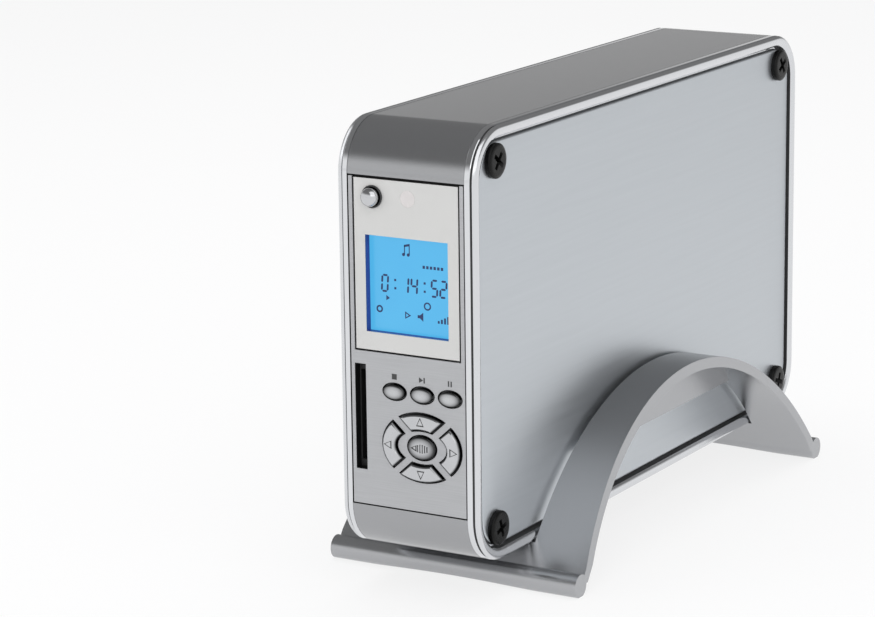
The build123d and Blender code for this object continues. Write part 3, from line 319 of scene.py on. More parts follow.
outer_arch = arc(arch_centre, arch_radius, 90 - turn, 90 + turn, arch_steps)
inner_arch = arc(arch_centre, arch_radius - arch_wall, 90 + turn, 90 - turn, arch_steps)
arch_line = [leg_end(arch_radius, 1)] + outer_arch + [leg_end(arch_radius, -1)]
arch_line += [leg_end(arch_radius - arch_wall, -1)] + inner_arch
arch_line += [leg_end(arch_radius - arch_wall, 1)]
stand = outline("stand_arch", [(-stand_half_foot, stand_y + y, z) for y, z in arch_line])
push((2 * stand_half_foot, 0, 0))
face_out(stand)
for side in (-1, 1):
    bar_y = stand_y + side * foot_bar_y
    ends = [(x, bar_y, foot_bar_z) for x in (-stand_half_foot, stand_half_foot)]
    combine(stand, rod("foot_bar", ends[0], ends[1], foot_bar_radius), "UNION")
skirt_line = arc(arch_centre, arch_radius - arch_wall / 2, 90 - turn, 90 + turn, arch_steps)
for side in (-1, 1):
    low_x = side * (slot_half + skirt_wall / 2) - skirt_wall / 2
    skirt = outline("skirt", [(low_x, stand_y + y, z) for y, z in skirt_line])
    push((skirt_wall, 0, 0))
    face_out(skirt)
    low = (-cut_reach / 2, -cut_reach, -cut_reach / 2)
    below = box("below", low, (cut_reach / 2, cut_reach, skirt_bottom))
    combine(skirt, below, "DIFFERENCE")
    combine(stand, skirt, "UNION")
slot_low = (-slot_half, stand_y - cut_reach, casing_low)
slot_high = (slot_half, stand_y + cut_reach, 2 * arch_top)
combine(stand, box("slot", slot_low, slot_high), "DIFFERENCE")
edit(stand)
lean = (stand_half_foot - stand_half_top) / (arch_top - foot_height)
for side in (-1, 1):
    bpy.ops.mesh.select_all(action="SELECT")
    bpy.ops.mesh.bisect(
        plane_co=(side * stand_half_foot, 0, foot_height),
        plane_no=(side, 0, lean),
        clear_outer=True,
        use_fill=True,
    )
bpy.ops.mesh.select_all(action="SELECT")
bpy.ops.mesh.bisect(
    plane_co=(0, 0, foot_flat), plane_no=(0, 0, -1), clear_outer=True, use_fill=True
)
bpy.ops.object.mode_set(mode="OBJECT")
relief_ends = [(0, y, relief_z) for y in (-cut_reach, cut_reach)]
arch_relief = rod("relief", *relief_ends, relief_radius, 512)
combine(stand, arch_relief, "DIFFERENCE")
face_out(stand)
soften(stand, stand_edge, 4, 32)
for vertex in stand.data.vertices:
    vertex.co.z = max(vertex.co.z, 0)
stand_silver = Finish("satin_silver", Metallic=0.9, Roughness=0.27, Base_Color=silver(0.42))
grain = stand_silver.noise(2600.0, 3.0)
stand_silver.feed("Base Color", stand_silver.blend(grain, silver(0.42), silver(0.45)))
stand_silver.uneven(900.0, 0.04, 0.24)
stand_silver.rough(grain, 0.02, 0.01 * mm)
stand_in(stand, "stand", stand_silver, "stand")

# ---------------------------------------------------------------- side frames
# A frame round each side: a narrow polished rim level with the covers, a thin groove painted
# black as a painted shade, a rounded bead, and inside the bead a ledge that the side plate lies on.
# Moulded in plastic and plated; the corner screws clamp them to the posts.
casing_y = -2.9 * mm
casing_length = 198.6 * mm
casing_height = 117 * mm
corner_radius = 13.75 * mm
rim_inner = 17.7 * mm
groove_start = 19.2 * mm
groove_end = 19.55 * mm
groove_depth = 0.45 * mm
bead_top = 20.85 * mm
bead_inner = 20.2 * mm
bead_width = 3.1 * mm
ledge_face = 18.7 * mm
ledge_end = 12.6 * mm
rim_chamfer = 0.18 * mm
bead_front = (bead_top - groove_end) * 0.98
bead_points = [
    (bead_width * 0.36 * (1 - math.sin(math.radians(a))), bead_front * math.cos(math.radians(a)))
    for a in (90, 72, 54, 38, 24, 11, 0)
]
frame_line = [(0, rim_inner), (0, groove_start - rim_chamfer), (rim_chamfer, groove_start)]
frame_line += [(groove_depth, groove_start), (groove_depth, groove_end)]
frame_line += [(s, groove_end + rise) for s, rise in bead_points[1:]]
frame_line += [(bead_width * 0.62, bead_top - 0.02 * mm), (bead_width * 0.84, bead_top - 0.22 * mm)]
frame_line += [(bead_width * 0.95, bead_inner + 0.15 * mm), (bead_width, bead_inner)]
frame_line += [(bead_width, ledge_face), (ledge_end, ledge_face), (ledge_end, rim_inner)]
front_y = casing_y - casing_length / 2
rear_y = casing_y + casing_length / 2
casing_high = casing_low + casing_height


def run_round():
    """Carries the drawn section round the casing: four straights and four corners."""
    long = casing_length - 2 * corner_radius
    tall = casing_height - 2 * corner_radius
    low_z, high_z = casing_low + corner_radius, casing_high - corner_radius
    near_y, far_y = front_y + corner_radius, rear_y - corner_radius
    runs = [
        ((0, long, 0), (0, far_y, low_z)),
        ((0, 0, tall), (0, far_y, high_z)),
        ((0, -long, 0), (0, near_y, high_z)),
        ((0, 0, -tall), (0, near_y, low_z)),
    ]
    for step, centre in runs:
        push(step)
        bpy.ops.mesh.spin(
            steps=14, angle=math.radians(-90), center=centre, axis=(1, 0, 0), use_auto_merge=False
        )


def wire_round(name, line, side):
    """A frame made by running a wire section round the casing."""
    start_y = front_y + corner_radius
    points = [(side * x, start_y, casing_low + s) for s, x in line + line[:1]]
    piece = outline(name, points, closed=False)
    run_round()
    face_out(piece)
    return piece


plated = Finish("bright_plating", Metallic=1.0, Roughness=0.07, Base_Color=silver(0.72))
plated.uneven(160.0, 0.05, 0.05)
satin_plating = Finish("satin_plating", Metallic=1.0, Roughness=0.2, Base_Color=silver(0.70))
satin_plating.uneven(300.0, 0.10, 0.16, 3.0)
# The groove's near black is a painted shade down the narrow groove between rim and bead.
groove_shade = Finish("groove_shade", Metallic=0.0, Roughness=0.6, Base_Color=silver(0.03))
groove_shade.uneven(400.0, 0.2, 0.5)
for side, name in ((-1, "left_frame"), (1, "right_frame")):
    side_frame = wire_round(name + "_ring", frame_line, side)
    take(side_frame)
    bpy.ops.object.shade_smooth_by_angle(angle=math.radians(30))
    for finish in (satin_plating, plated, groove_shade):
        side_frame.data.materials.append(finish.material)
    for face in side_frame.data.polygons:
        out = abs(face.center.x) - 0.01 * mm
        if out < groove_start:
            face.material_index = 1
        elif out < groove_end:
            face.material_index = 2
    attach(side_frame, "player")
    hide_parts(name)

# ---------------------------------------------------------------- covers
# Two curved sheets of aluminium, painted satin silver: one over the top and one under
# the casing, each bent down round both ends. The upper one carries the drive tray on
# two bosses and lifts off with it; the lower one holds two posts and the tray's rests.
cover_wall = 1.2 * mm
cover_edge = 0.25 * mm
boss_x = 6.0 * mm
boss_radius = 2.0 * mm
tray_top_z = casing_low + 110.3 * mm
tray_near_y = front_y + 27.8 * mm
tray_far_y = front_y + 179.8 * mm
post_y = casing_length / 2 - 11.65 * mm
post_radius = 4.0 * mm
post_height = 9.1 * mm
post_half = 16.7 * mm
rib_half = 13.0 * mm
rib_wall = 1.6 * mm
rest_y = 50.0 * mm
rest_height = 6.6 * mm
cover_silver = Finish("cover_silver", Metallic=0.9, Roughness=0.19, Base_Color=silver(0.37))
cover_grain = cover_silver.noise(2400.0, 3.0)
cover_silver.feed("Base Color", cover_silver.blend(cover_grain, silver(0.35), silver(0.40)))
cover_silver.uneven(700.0, 0.06, 0.16)
cover_silver.rough(cover_grain, 0.04, 0.02 * mm)


def bent_sheet(name, side):
    """The sheet of one cover; side is 1 for the top and -1 for the bottom."""
    outer = casing_high if side > 0 else casing_low
    end_z = outer - side * corner_radius
    near_y, far_y = front_y + corner_radius, rear_y - corner_radius
    half = rim_inner - 0.02 * mm
    points = [(-half, front_y, end_z), (half, front_y, end_z)]
    points += [(half, front_y + cover_wall, end_z), (-half, front_y + cover_wall, end_z)]
    piece = outline(name, points)
    for centre_y, step in ((near_y, (0, far_y - near_y, 0)), (far_y, None)):
        bpy.ops.mesh.spin(
            steps=16, angle=math.radians(side * 90), center=(0, centre_y, end_z), axis=(1, 0, 0)
        )
        if step:
            push(step)
    face_out(piece)
    return piece


upper_cover = bent_sheet("upper_cover", 1)
under_top = casing_high - cover_wall / 2
for y in (tray_near_y, tray_far_y):
    boss = rod("boss", (boss_x, y, tray_top_z), (boss_x, y, under_top), boss_radius, 32)
    combine(upper_cover, boss, "UNION")
for side in (-1, 1):
    y = casing_y + side * post_y
    rib_low = casing_high - post_height + post_radius + 0.3 * mm
    low = (-rib_half, y - rib_wall / 2, rib_low)
    combine(upper_cover, box("rib", low, (rib_half, y + rib_wall / 2, under_top)), "UNION")
lower_cover = bent_sheet("lower_cover", -1)
over_bottom = casing_low + cover_wall / 2
for side in (-1, 1):
    y, z = casing_y + side * post_y, casing_low + post_height
    combine(lower_cover, rod("post", (-post_half, y, z), (post_half, y, z), post_radius), "UNION")
    low = (-post_half, y - rib_wall / 2, over_bottom)
    combine(lower_cover, box("rib", low, (post_half, y + rib_wall / 2, z)), "UNION")
    y = casing_y + side * rest_y
    low = (-rib_half, y - rib_wall / 2, over_bottom)
    high = (rib_half, y + rib_wall / 2, casing_low + rest_height)
    combine(lower_cover, box("rest", low, high), "UNION")
for cover, name, body in (
    (upper_cover, "top_cover", "drive_drawer"),
    (lower_cover, "bottom_cover", "player"),
):
    face_out(cover)
    soften(cover, cover_edge, 2)
    stand_in(cover, name, cover_silver, body)

# ---------------------------------------------------------------- side plates
# Flat sheets of aluminium with well rounded edges, brushed along their length and
# anodised. They lie inside the beads and are held by four screws each.
plate_inset = 3.95 * mm
plate_face = 19.75 * mm
plate_round = 0.85 * mm
side_metal = Finish("brushed_side", Metallic=0.9, Roughness=0.32, Base_Color=silver(0.58))
brush = side_metal.noise(900.0, 4.0, (1.0, 0.03, 1.0))
haze = side_metal.noise(14.0, 2.0, (1.0, 0.6, 1.0))
streaks = brush * 0.7 + haze * 0.3
side_tone = side_metal.blend(streaks, (0.50, 0.53, 0.56, 1), (0.59, 0.62, 0.65, 1))
side_metal.feed("Base Color", side_tone)
side_metal.feed("Roughness", brush * 0.12 + 0.30)
side_metal.rough(brush, 0.06, 0.02 * mm)


def rounded_outline(name, x, inset):
    """The casing's side outline set in by a distance, at x."""
    radius = corner_radius - inset
    near_y, far_y = front_y + corner_radius, rear_y - corner_radius
    low_z, high_z = casing_low + corner_radius, casing_high - corner_radius
    points = arc((far_y, high_z), radius, 0, 90, 14) + arc((near_y, high_z), radius, 90, 180, 14)
    points += arc((near_y, low_z), radius, 180, 270, 14) + arc((far_y, low_z), radius, 270, 360, 14)
    return outline(name, [(x, y, z) for y, z in points])


for side, name in ((-1, "left_side_plate"), (1, "right_side_plate")):
    side_plate = rounded_outline(name + "_sheet", side * ledge_face, plate_inset)
    push((side * (plate_face - ledge_face), 0, 0))
    face_out(side_plate)
    edit(side_plate, "DESELECT")
    bpy.ops.object.mode_set(mode="OBJECT")
    for edge in side_plate.data.edges:
        ends = [side_plate.data.vertices[i].co.x for i in edge.vertices]
        edge.select = min(abs(x) for x in ends) > plate_face - 0.01 * mm
    bpy.ops.object.mode_set(mode="EDIT")
    bpy.ops.mesh.select_mode(type="EDGE")
    bpy.ops.mesh.bevel(offset=plate_round, segments=5)
    bpy.ops.object.mode_set(mode="OBJECT")
    bpy.ops.object.shade_smooth_by_angle(angle=math.radians(35))
    stand_in(side_plate, name, side_metal)

# ---------------------------------------------------------------- corner screws
# Black pan-head machine screws with a cross recess, four a side. They pass through
# the side plate and the frame's ledge into the posts.
corner_sizes = (4.7 * mm, 1.7 * mm, 1.1 * mm, 2.0 * mm, 12.0 * mm)
corner_cross = (5.4 * mm, 1.25 * mm, 1.7 * mm)
corner_turns = {(-1, -1): 18, (-1, 1): 52, (1, -1): 71, (1, 1): 33}
crown_round = 0.3
crown_rings = 5
cross_proud = 0.2 * mm
cross_taper = (0.62, 0.8)
screw_edge = 0.12 * mm
screw_z = casing_height / 2 - 9.1 * mm
casing_mid_z = casing_low + casing_height / 2
screw_black = Finish("screw_black", Roughness=0.3, Base_Color=silver(0.006))
screw_black.shader.inputs["Specular IOR Level"].default_value = 0.15
screw_black.uneven(1500.0, 0.16, 0.2, 3.0)


def pick_end(piece, out):
    """Selects the flat end that faces out and lies furthest that way, in face mode."""
    edit(piece, "DESELECT")
    bpy.ops.mesh.select_mode(type="FACE")
    bpy.ops.object.mode_set(mode="OBJECT")
    out = Vector(out)
    reach = max(p.center.dot(out) for p in piece.data.polygons)
    for polygon in piece.data.polygons:
        level = polygon.center.dot(out) > reach - 0.01 * mm
        polygon.select = level and polygon.normal.dot(out) > 0.9
    bpy.ops.object.mode_set(mode="EDIT")


def resize_across(out, size):
    """Scales what is selected, across the main axis out."""
    bpy.ops.transform.resize(value=[1 if abs(c) > 0.5 else size for c in out])


def cross_screw(place, out, slot_turn, sizes, cross):
    """
    A pan-head screw with a tapered cross recess; out is the way its head faces. Its sizes
    are the head's radius, height and rim height and the shank's radius and length; those of
    the cross are an arm's length and width, and the depth.
    """
    head, rise, rim, shank, reach = sizes
    long, wide, deep = cross
    face = Vector(place)
    out = Vector(out)
    screw = rod("screw", face, face + out * rim, head, 40)
    pick_end(screw, out)
    angles = [math.radians(90 * ring / crown_rings) for ring in range(crown_rings + 1)]
    for low, high in zip(angles, angles[1:]):
        push(out * (rise - rim) * (math.sin(high) - math.sin(low)))
        near, far = [1 - crown_round * (1 - math.cos(angle)) for angle in (low, high)]
        resize_across(out, far / near)
    bpy.ops.object.mode_set(mode="OBJECT")
    top = face + out * (rise + cross_proud)
    aim = out.to_track_quat("Z", "Y").to_matrix()
    for angle in (slot_turn, slot_turn + 90):
        half = (long / 2, wide / 2, deep / 2)
        arm = box("arm", [-size for size in half], half)
        spin = Matrix.Rotation(math.radians(angle), 3, "Z")
        for vertex in arm.data.vertices:
            if vertex.co.z < 0:
                vertex.co.x *= cross_taper[0]
                vertex.co.y *= cross_taper[1]
            vertex.co = aim @ (spin @ vertex.co) + top - out * (deep / 2 - 0.001 * mm)
        combine(screw, arm, "DIFFERENCE")
    bolt = rod("shank", face + out * 0.1 * mm, face - out * reach, shank, 24)
    combine(screw, bolt, "UNION")
    face_out(screw)
    soften(screw, screw_edge, 2, 40)
    return screw


def group(pieces, name):
    """Joins like pieces into one object."""
    clear_choice()
    for piece in pieces:
        piece.select_set(True)
    bpy.context.view_layer.objects.active = pieces[0]
    bpy.ops.object.join()
    bpy.context.object.name = name
    return bpy.context.object


def screw_set(name, screws, sizes, cross):
    """Like screws as one piece; screws lists the place, the way out and the turn of each."""
    return group([cross_screw(*screw, sizes, cross) for screw in screws], name)


for side, name in ((-1, "left_side_screws"), (1, "right_side_screws")):
    screws = []
    for (end, level), slot_turn in corner_turns.items():
        place = (side * plate_face, casing_y + end * post_y, casing_mid_z + level * screw_z)
        screws.append((place, (side, 0, 0), slot_turn))
    corner_screws = screw_set(name + "_set", screws, corner_sizes, corner_cross)
    stand_in(corner_screws, name, screw_black)

# ---------------------------------------------------------------- front bezel
# The panel of the display side, moulded in plastic and painted a fine brushed silver.
# Its openings take the keys, the card and the display; the display plate lies in a
# shallow recess, and small printed shapes stand over the three oval keys.
bezel_edge = 0.12 * mm
bezel_half = 17.45 * mm
bezel_low, bezel_high = casing_low + 14.0 * mm, casing_low + 103.0 * mm
border_gap = 0.1 * mm
border_deep = 1.9 * mm
on_edge = 0.1 * mm
key_row_z = casing_low + 46.0 * mm
key_row_x = 4.35 * mm
key_pitch = 8.45 * mm
print_z = key_row_z + 4.1 * mm
print_size = 1.5 * mm
print_lift = 0.03 * mm
print_wall = 0.1 * mm
bar_wide = 0.4 * mm
plate_half = 15.9 * mm
plate_low, plate_high = casing_low + 56.4 * mm, casing_low + 102.7 * mm
window_low = casing_low + 61.5 * mm
window_half = 12.5 * mm
window_tall = 26.0 * mm
holes_half = 16.8 * mm
holes_low = casing_low + 15 * mm
holes_high = plate_low - 0.4 * mm
holes_depth = 0.14 * mm
gap_depth = 0.24 * mm
window_depth = 0.34 * mm
back_depth = 0.4 * mm
paint_margin = 0.05 * mm


def copied(node, name):
    """A copy of a CAD piece with its doubles merged and its flats cleaned."""
    take(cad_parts[node])
    bpy.ops.object.duplicate()
    piece = bpy.context.object
    piece.name = name
    world_place = piece.matrix_world.copy()
    piece.parent = None
    piece.matrix_world = world_place
    bpy.ops.object.transform_apply(location=True, rotation=True, scale=True)
    edit(piece)
    bpy.ops.mesh.remove_doubles(threshold=0.002 * mm)
    bpy.ops.mesh.dissolve_limited(angle_limit=math.radians(1))
    bpy.ops.object.mode_set(mode="OBJECT")
    return piece


def trim(piece, finish, body="player"):
    """Paints a small detail that the CAD leaves out; it rides with a body."""
    paint(piece, finish)
    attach(piece, body)


def within(parts, low, high):
    """One between two corners given as x and z, nought outside them."""
    middle = [(a + b) / 2 for a, b in zip(low, high)]
    half = [(b - a) / 2 for a, b in zip(low, high)]
    off_x = abs(parts["X"] - middle[0])
    off_z = abs(parts["Z"] - middle[1])
    return (off_x < half[0]) * (off_z < half[1])


def shade_openings(finish, colour):
    """Paints the window walls dark blue, a painted glow of the display on them, and the holes, the gap
    round the plate and the back black; in the holes and the gap that black is a painted shade.
    """
    parts = finish.axes()
    edge = paint_margin
    low = (-window_half - edge, window_low - edge)
    high = (window_half + edge, window_low + window_tall + edge)
    window = within(parts, low, high) * (parts["Y"] > front_y + window_depth)
    low, high = (-plate_half - edge, plate_low - edge), (plate_half + edge, plate_high + edge)
    gap = within(parts, low, high) * (parts["Y"] > front_y + gap_depth)
    low, high = (-holes_half, holes_low), (holes_half, holes_high)
    holes = within(parts, low, high) * (parts["Y"] > front_y + holes_depth)
    behind = parts["Y"] > front_y + back_depth
    unshaded = (1 - gap) * (1 - holes) * (1 - behind)
    dark = finish.blend(unshaded, silver(0.008), colour)
    finish.feed("Base Color", finish.blend(window, dark, (0.035, 0.06, 0.30, 1)))
    return unshaded


bezel_silver = Finish("bezel_silver", Metallic=0.55, Roughness=0.36, Base_Color=silver(0.46))
bezel_brush = bezel_silver.noise(4200.0, 3.0, (0.02, 1.0, 1.0))
# The bezel's openings get painted shade and a painted glow of the display; elsewhere it is brushed
# silver.
unshaded = shade_openings(bezel_silver, bezel_silver.blend(bezel_brush, silver(0.41), silver(0.52)))
bezel_silver.feed("Metallic", unshaded * 0.55)
bezel_silver.shader.inputs["Specular IOR Level"].default_value = 0.3
bezel_silver.feed("Roughness", bezel_brush * 0.14 + 0.30)
bezel_silver.rough(bezel_brush, 0.08, 0.02 * mm)
bezel = copied("front_bezel", "bezel")
for vertex in bezel.data.vertices:
    if vertex.co.y > front_y + border_deep:
        continue
    if abs(vertex.co.x) > bezel_half - on_edge:
        vertex.co.x -= math.copysign(border_gap, vertex.co.x)
    if vertex.co.z < bezel_low + on_edge:
        vertex.co.z += border_gap
    if vertex.co.z > bezel_high - on_edge:
        vertex.co.z -= border_gap
soften(bezel, bezel_edge, 2)
stand_in(bezel, "front_bezel", bezel_silver)

printed = Finish("printed_grey", Metallic=0.0, Roughness=0.55, Base_Color=silver(0.05))
printed.uneven(2000.0, 0.1, 0.5)


def flat_shape(name, points, y, depth):
    """A flat shape in the face of the bezel, depth thick; points are x and z."""
    piece = outline(name, [(x, y, z) for x, z in points])
    push((0, depth, 0))
    face_out(piece)
    return piece


def oblong(x, z, wide, tall):
    """The four corners of an upright oblong."""
    return [
        (x - wide / 2, z - tall / 2),
        (x + wide / 2, z - tall / 2),
        (x + wide / 2, z + tall / 2),
        (x - wide / 2, z + tall / 2),
    ]


print_y = front_y - print_lift
square = oblong(key_row_x - key_pitch, print_z, print_size, print_size)
marks = [flat_shape("square", square, print_y, print_wall)]
arrow = [(-0.6, -0.5), (0.25, 0), (-0.6, 0.5)]
arrow = [(key_row_x + x * print_size, print_z + z * print_size) for x, z in arrow]
marks.append(flat_shape("arrow", arrow, print_y, print_wall))
pause_x = key_row_x + key_pitch
for x in (key_row_x + 0.45 * print_size, pause_x - bar_wide, pause_x + bar_wide):
    marks.append(flat_shape("bar", oblong(x, print_z, bar_wide, print_size), print_y, print_wall))
trim(group(marks, "key_marks"), printed)

# ---------------------------------------------------------------- display plate
# A smooth pale plate let into the upper half of the bezel, with openings for the power
# button, the faintly tinted remote-control window and the display.
plate_gap = 0.16 * mm
lens_profile = [(2.24 * mm, -1.9 * mm), (2.24 * mm, -0.17 * mm), (2.21 * mm, -0.15 * mm)]
lens_place = (0.6 * mm, front_y, casing_low + 98.0 * mm)
pale_plate = Finish("pale_plate", Metallic=0.2, Roughness=0.34, Base_Color=(0.68, 0.68, 0.67, 1))
plate_tone = pale_plate.blend(pale_plate.noise(60.0), (0.61, 0.61, 0.60, 1), (0.65, 0.65, 0.64, 1))
# The plate's openings get the same painted shade and painted glow of the display.
shade_openings(pale_plate, plate_tone)
pale_plate.uneven(900.0, 0.08, 0.30)
plate_front = copied("display_plate", "pale_display_plate")
plate_mid_z = (plate_low + plate_high) / 2
for vertex in plate_front.data.vertices:
    if abs(vertex.co.x) > plate_half - on_edge:
        vertex.co.x -= math.copysign(plate_gap, vertex.co.x)
    if min(abs(vertex.co.z - plate_low), abs(vertex.co.z - plate_high)) < on_edge:
        vertex.co.z -= math.copysign(plate_gap, vertex.co.z - plate_mid_z)
soften(plate_front, 0.08 * mm, 2)
stand_in(plate_front, "display_plate", pale_plate)
window_tint = Finish("window_tint", Roughness=0.3, Base_Color=(0.66, 0.635, 0.63, 1))
window_tint.uneven(500.0, 0.08, 0.22)


def turned(name, place, out, profile, sides=48):
    """A turned piece along out: pairs of radius and reach; the last end may sink in."""
    start = Vector(place)
    out = Vector(out)
    first_radius, first_reach = profile[0]
    second_reach = profile[1][1]
    piece = rod(name, start + out * first_reach, start + out * second_reach, first_radius, sides)
    pick_end(piece, out)
    radius, reach = first_radius, second_reach
    for next_radius, next_reach in profile[1:]:
        if abs(next_radius - radius) > 1e-9:
            if abs(next_reach - reach) < 1e-9:
                push((0, 0, 0))
            else:
                push(out * (next_reach - reach))
            resize_across(out, next_radius / radius)
        elif abs(next_reach - reach) > 1e-9:
            push(out * (next_reach - reach))
        radius, reach = next_radius, next_reach
    face_out(piece)
    return piece


remote_lens = turned("remote_lens", lens_place, (0, -1, 0), lens_profile, 64)
soften(remote_lens, 0.0)
stand_in(remote_lens, "remote_window", window_tint)

# ---------------------------------------------------------------- display
# A small backlit display: a clear pane over a sky-blue field. Dark segments make a
# clock and a few plain signs. The window's walls are dark blue where they catch its light.
pane_y = front_y + 2.4 * mm
pane_wall = 2.0 * mm
pane_half = 13.9 * mm
pane_margin = 1.4 * mm
digit_tall = 4.3 * mm
digit_wide = 1.75 * mm
digit_stroke = 0.55 * mm
digit_lean = 0.06
digit_z = window_low + 13.0 * mm
display_blue = Finish("display_blue", Roughness=0.22, Base_Color=(0.01, 0.04, 0.08, 1))
display_blue.shader.inputs["Emission Strength"].default_value = 0.87
spread = display_blue.noise(70.0, 1.0)
cells = display_blue.noise(5200.0, 0.0)
glow = display_blue.blend(spread, (0.075, 0.46, 0.83, 1), (0.10, 0.53, 0.88, 1))
display_blue.feed("Emission Color", glow)
display_blue.feed("Roughness", cells * 0.1 + 0.15)
pane = box(
    "display_pane",
    (-pane_half, pane_y, window_low - pane_margin),
    (pane_half, pane_y + pane_wall, window_low + window_tall + pane_margin),
)
soften(pane, 0.3 * mm, 2)
stand_in(pane, "display_glass", display_blue)

display_ink = Finish("display_ink", Roughness=0.35, Base_Color=(0.012, 0.03, 0.12, 1))
display_ink.uneven(2500.0, 0.1, 0.3)
ink_y = pane_y - 0.04 * mm
ink_wall = 0.08 * mm
segments = {
    "a": (0, 1, True),
    "b": (0.5, 0.5, False),
    "c": (0.5, -0.5, False),
    "d": (0, -1, True),
    "e": (-0.5, -0.5, False),
    "f": (-0.5, 0.5, False),
    "g": (0, 0, True),
}
figures = {"0": "abcdef", "1": "bc", "2": "abged", "4": "fgbc", "5": "afgcd"}


def segment(x, z, length, level):
    """One bar of a figure, with pointed ends; level bars lie flat."""
    half, thick = length / 2 - 0.12 * mm, digit_stroke / 2
    points = [(-half, 0), (-half + thick, -thick), (half - thick, -thick)]
    points += [(half, 0), (half - thick, thick), (-half + thick, thick)]
    if not level:
        points = [(-b, a) for a, b in points]
    spots = [(x + a + digit_lean * (z + b - digit_z), z + b) for a, b in points]
    return flat_shape("segment", spots, ink_y, ink_wall)


ink = []


def draw(points):
    """Adds one dark shape to the display; points are x and z from the window's foot, in mm."""
    spots = [(a * mm, window_low + b * mm) for a, b in points]
    ink.append(flat_shape("sign", spots, ink_y, ink_wall))
    return ink[-1]


def draw_ring(outside, inside):
    """A dark shape with a hole in it."""
    hole = [(a * mm, window_low + b * mm) for a, b in inside]
    combine(draw(outside), flat_shape("hole", hole, ink_y - 1 * mm, 2 * mm), "DIFFERENCE")


for figure, clock_x in zip("01452", (-7.95, -1.73, 0.97, 7.1, 9.8)):
    for bar in figures[figure]:
        across_part, up_part, level = segments[bar]
        x = clock_x * mm + across_part * digit_wide
        z = digit_z + up_part * digit_tall / 2
        ink.append(segment(x, z, digit_wide if level else digit_tall / 2, level))
for x in (-4.8, 4.15):
    for z in (11.9, 14.1):
        draw(oblong(x, z, 0.6, 0.6))
note_x, note_z = -1.1, 21.6
for shift in (-0.72, 0.72):
    draw(oblong(note_x + shift, note_z + 0.9, 0.26, 2.4))
    draw(arc((note_x + shift - 0.32, note_z - 0.4), 0.45, 0, 345, 14))
draw([(note_x + a, note_z + b) for a, b in ((-0.85, 1.6), (0.85, 2.0), (0.85, 2.6), (-0.85, 2.2))])
for block in range(6):
    draw(oblong(3.95 + 1.1 * block, 18.4, 0.7, 0.8))
draw([(-7.6, 8.4), (-6.5, 9.1), (-7.6, 9.8)])
draw_ring(arc((-9.7, 5.9), 1.0, 0, 345, 20), arc((-9.7, 5.9), 0.55, 0, 345, 16))
draw_ring([(-1.9, 4.0), (-0.1, 5.0), (-1.9, 6.0)], [(-1.6, 4.5), (-0.75, 5.0), (-1.6, 5.5)])
draw([(1.9, 4.6), (2.6, 4.6), (3.6, 3.8), (3.6, 6.2), (2.6, 5.4), (1.9, 5.4)])
draw_ring(arc((4.9, 8.0), 1.1, 0, 345, 20), arc((4.9, 8.0), 0.7, 0, 345, 16))
for column in range(4):
    tall = 0.7 + 0.45 * column
    draw(oblong(8.275 + 0.95 * column, 3.8 + tall / 2, 0.55, tall))
trim(group(ink, "display_figures"), display_ink)

# ---------------------------------------------------------------- keys
# Plated plastic caps with a flange behind the bezel and a stem to the switch: a domed
# power button, three ovals, four arcs with a marked triangle, and a ribbed oval in the
# middle of the pad.
pad_x, pad_z = 4.1 * mm, casing_low + 31.7 * mm
pad_half_x, pad_half_z = 12.0 * mm, 9.35 * mm
pad_hole_x, pad_hole_z = 7.65 * mm, 4.7 * mm
key_front_y = front_y - 1.0 * mm
key_chrome = Finish("key_chrome", Metallic=1.0, Roughness=0.16, Base_Color=silver(0.62))
key_tone = key_chrome.blend(key_chrome.noise(300.0), silver(0.55), silver(0.62))
# Low on its flank a cap is painted dark, a painted shade for the gap round it; towards the crown the
# shade fades into the plating.
shade_fade_low, shade_fade_high = 0.5 * mm, 1.05 * mm
key_rise = key_chrome.axes()["Y"] * -1 + front_y
flank_shade_fade = key_chrome.add(
    "ShaderNodeMapRange",
    {"interpolation_type": "SMOOTHSTEP"},
    {"Value": key_rise, "From Min": shade_fade_low, "From Max": shade_fade_high, "To Min": 0.0, "To Max": 1.0},
)["Result"]
key_chrome.feed("Base Color", key_chrome.blend(flank_shade_fade, silver(0.05), key_tone))
key_chrome.uneven(800.0, 0.08, 0.12)
key_mark = Finish("key_mark", Roughness=0.5, Base_Color=silver(0.04))
key_mark.uneven(2000.0, 0.1, 0.45)
key_gap = 0.18 * mm
cap_join = 0.6 * mm
cap_sink = 0.8 * mm
arc_steps = 10
key_back = front_y + cap_sink
key_shoulder = front_y - 0.4 * mm
crown_steps = ((0.06, 0.14), (0.1, 0.13), (0.12, 0.12), (0.12, 0.1), (0.11, 0.09), (0.05, 0.0))
bar_half = 1.15 * mm
bar_angle = 42


def crowned(points):
    """A cap with a puffed crown; points are x and z."""
    piece = outline("arc", [(x, key_back, z) for x, z in points])
    push((0, key_shoulder - key_back, 0))
    face_out(piece)
    pick_end(piece, (0, -1, 0))
    for inward, outward in crown_steps:
        bpy.ops.mesh.inset(thickness=inward * mm, depth=outward * mm)
    face_out(piece)
    return piece


def domed(x, z, half_x, half_z, side, rise):
    """A round or oval cap, side high at its edge and rise high in its middle."""
    profile = [(half_z, -cap_sink), (half_z, side)]
    for angle in range(12, 85, 12):
        lean = math.radians(angle)
        profile.append((half_z * math.cos(lean), side + (rise - side) * math.sin(lean)))
    cap = turned("dome", (x, front_y, z), (0, -1, 0), profile, 64)
    for vertex in cap.data.vertices:
        vertex.co.x = x + (vertex.co.x - x) * half_x / half_z
    return cap


def finish_key(cap, name):
    """Joins a cap to the stem and flange of its CAD key, and puts it in place."""
    rear = copied(name + "_button", name + "_cap")
    edit(rear)
    bpy.ops.mesh.bisect(
        plane_co=(0, front_y + cap_join, 0), plane_no=(0, -1, 0), clear_outer=True, use_fill=True
    )
    bpy.ops.object.mode_set(mode="OBJECT")
    combine(rear, cap, "UNION")
    face_out(rear)
    soften(rear, 0.0)
    stand_in(rear, name + "_button", key_chrome, name + "_key")


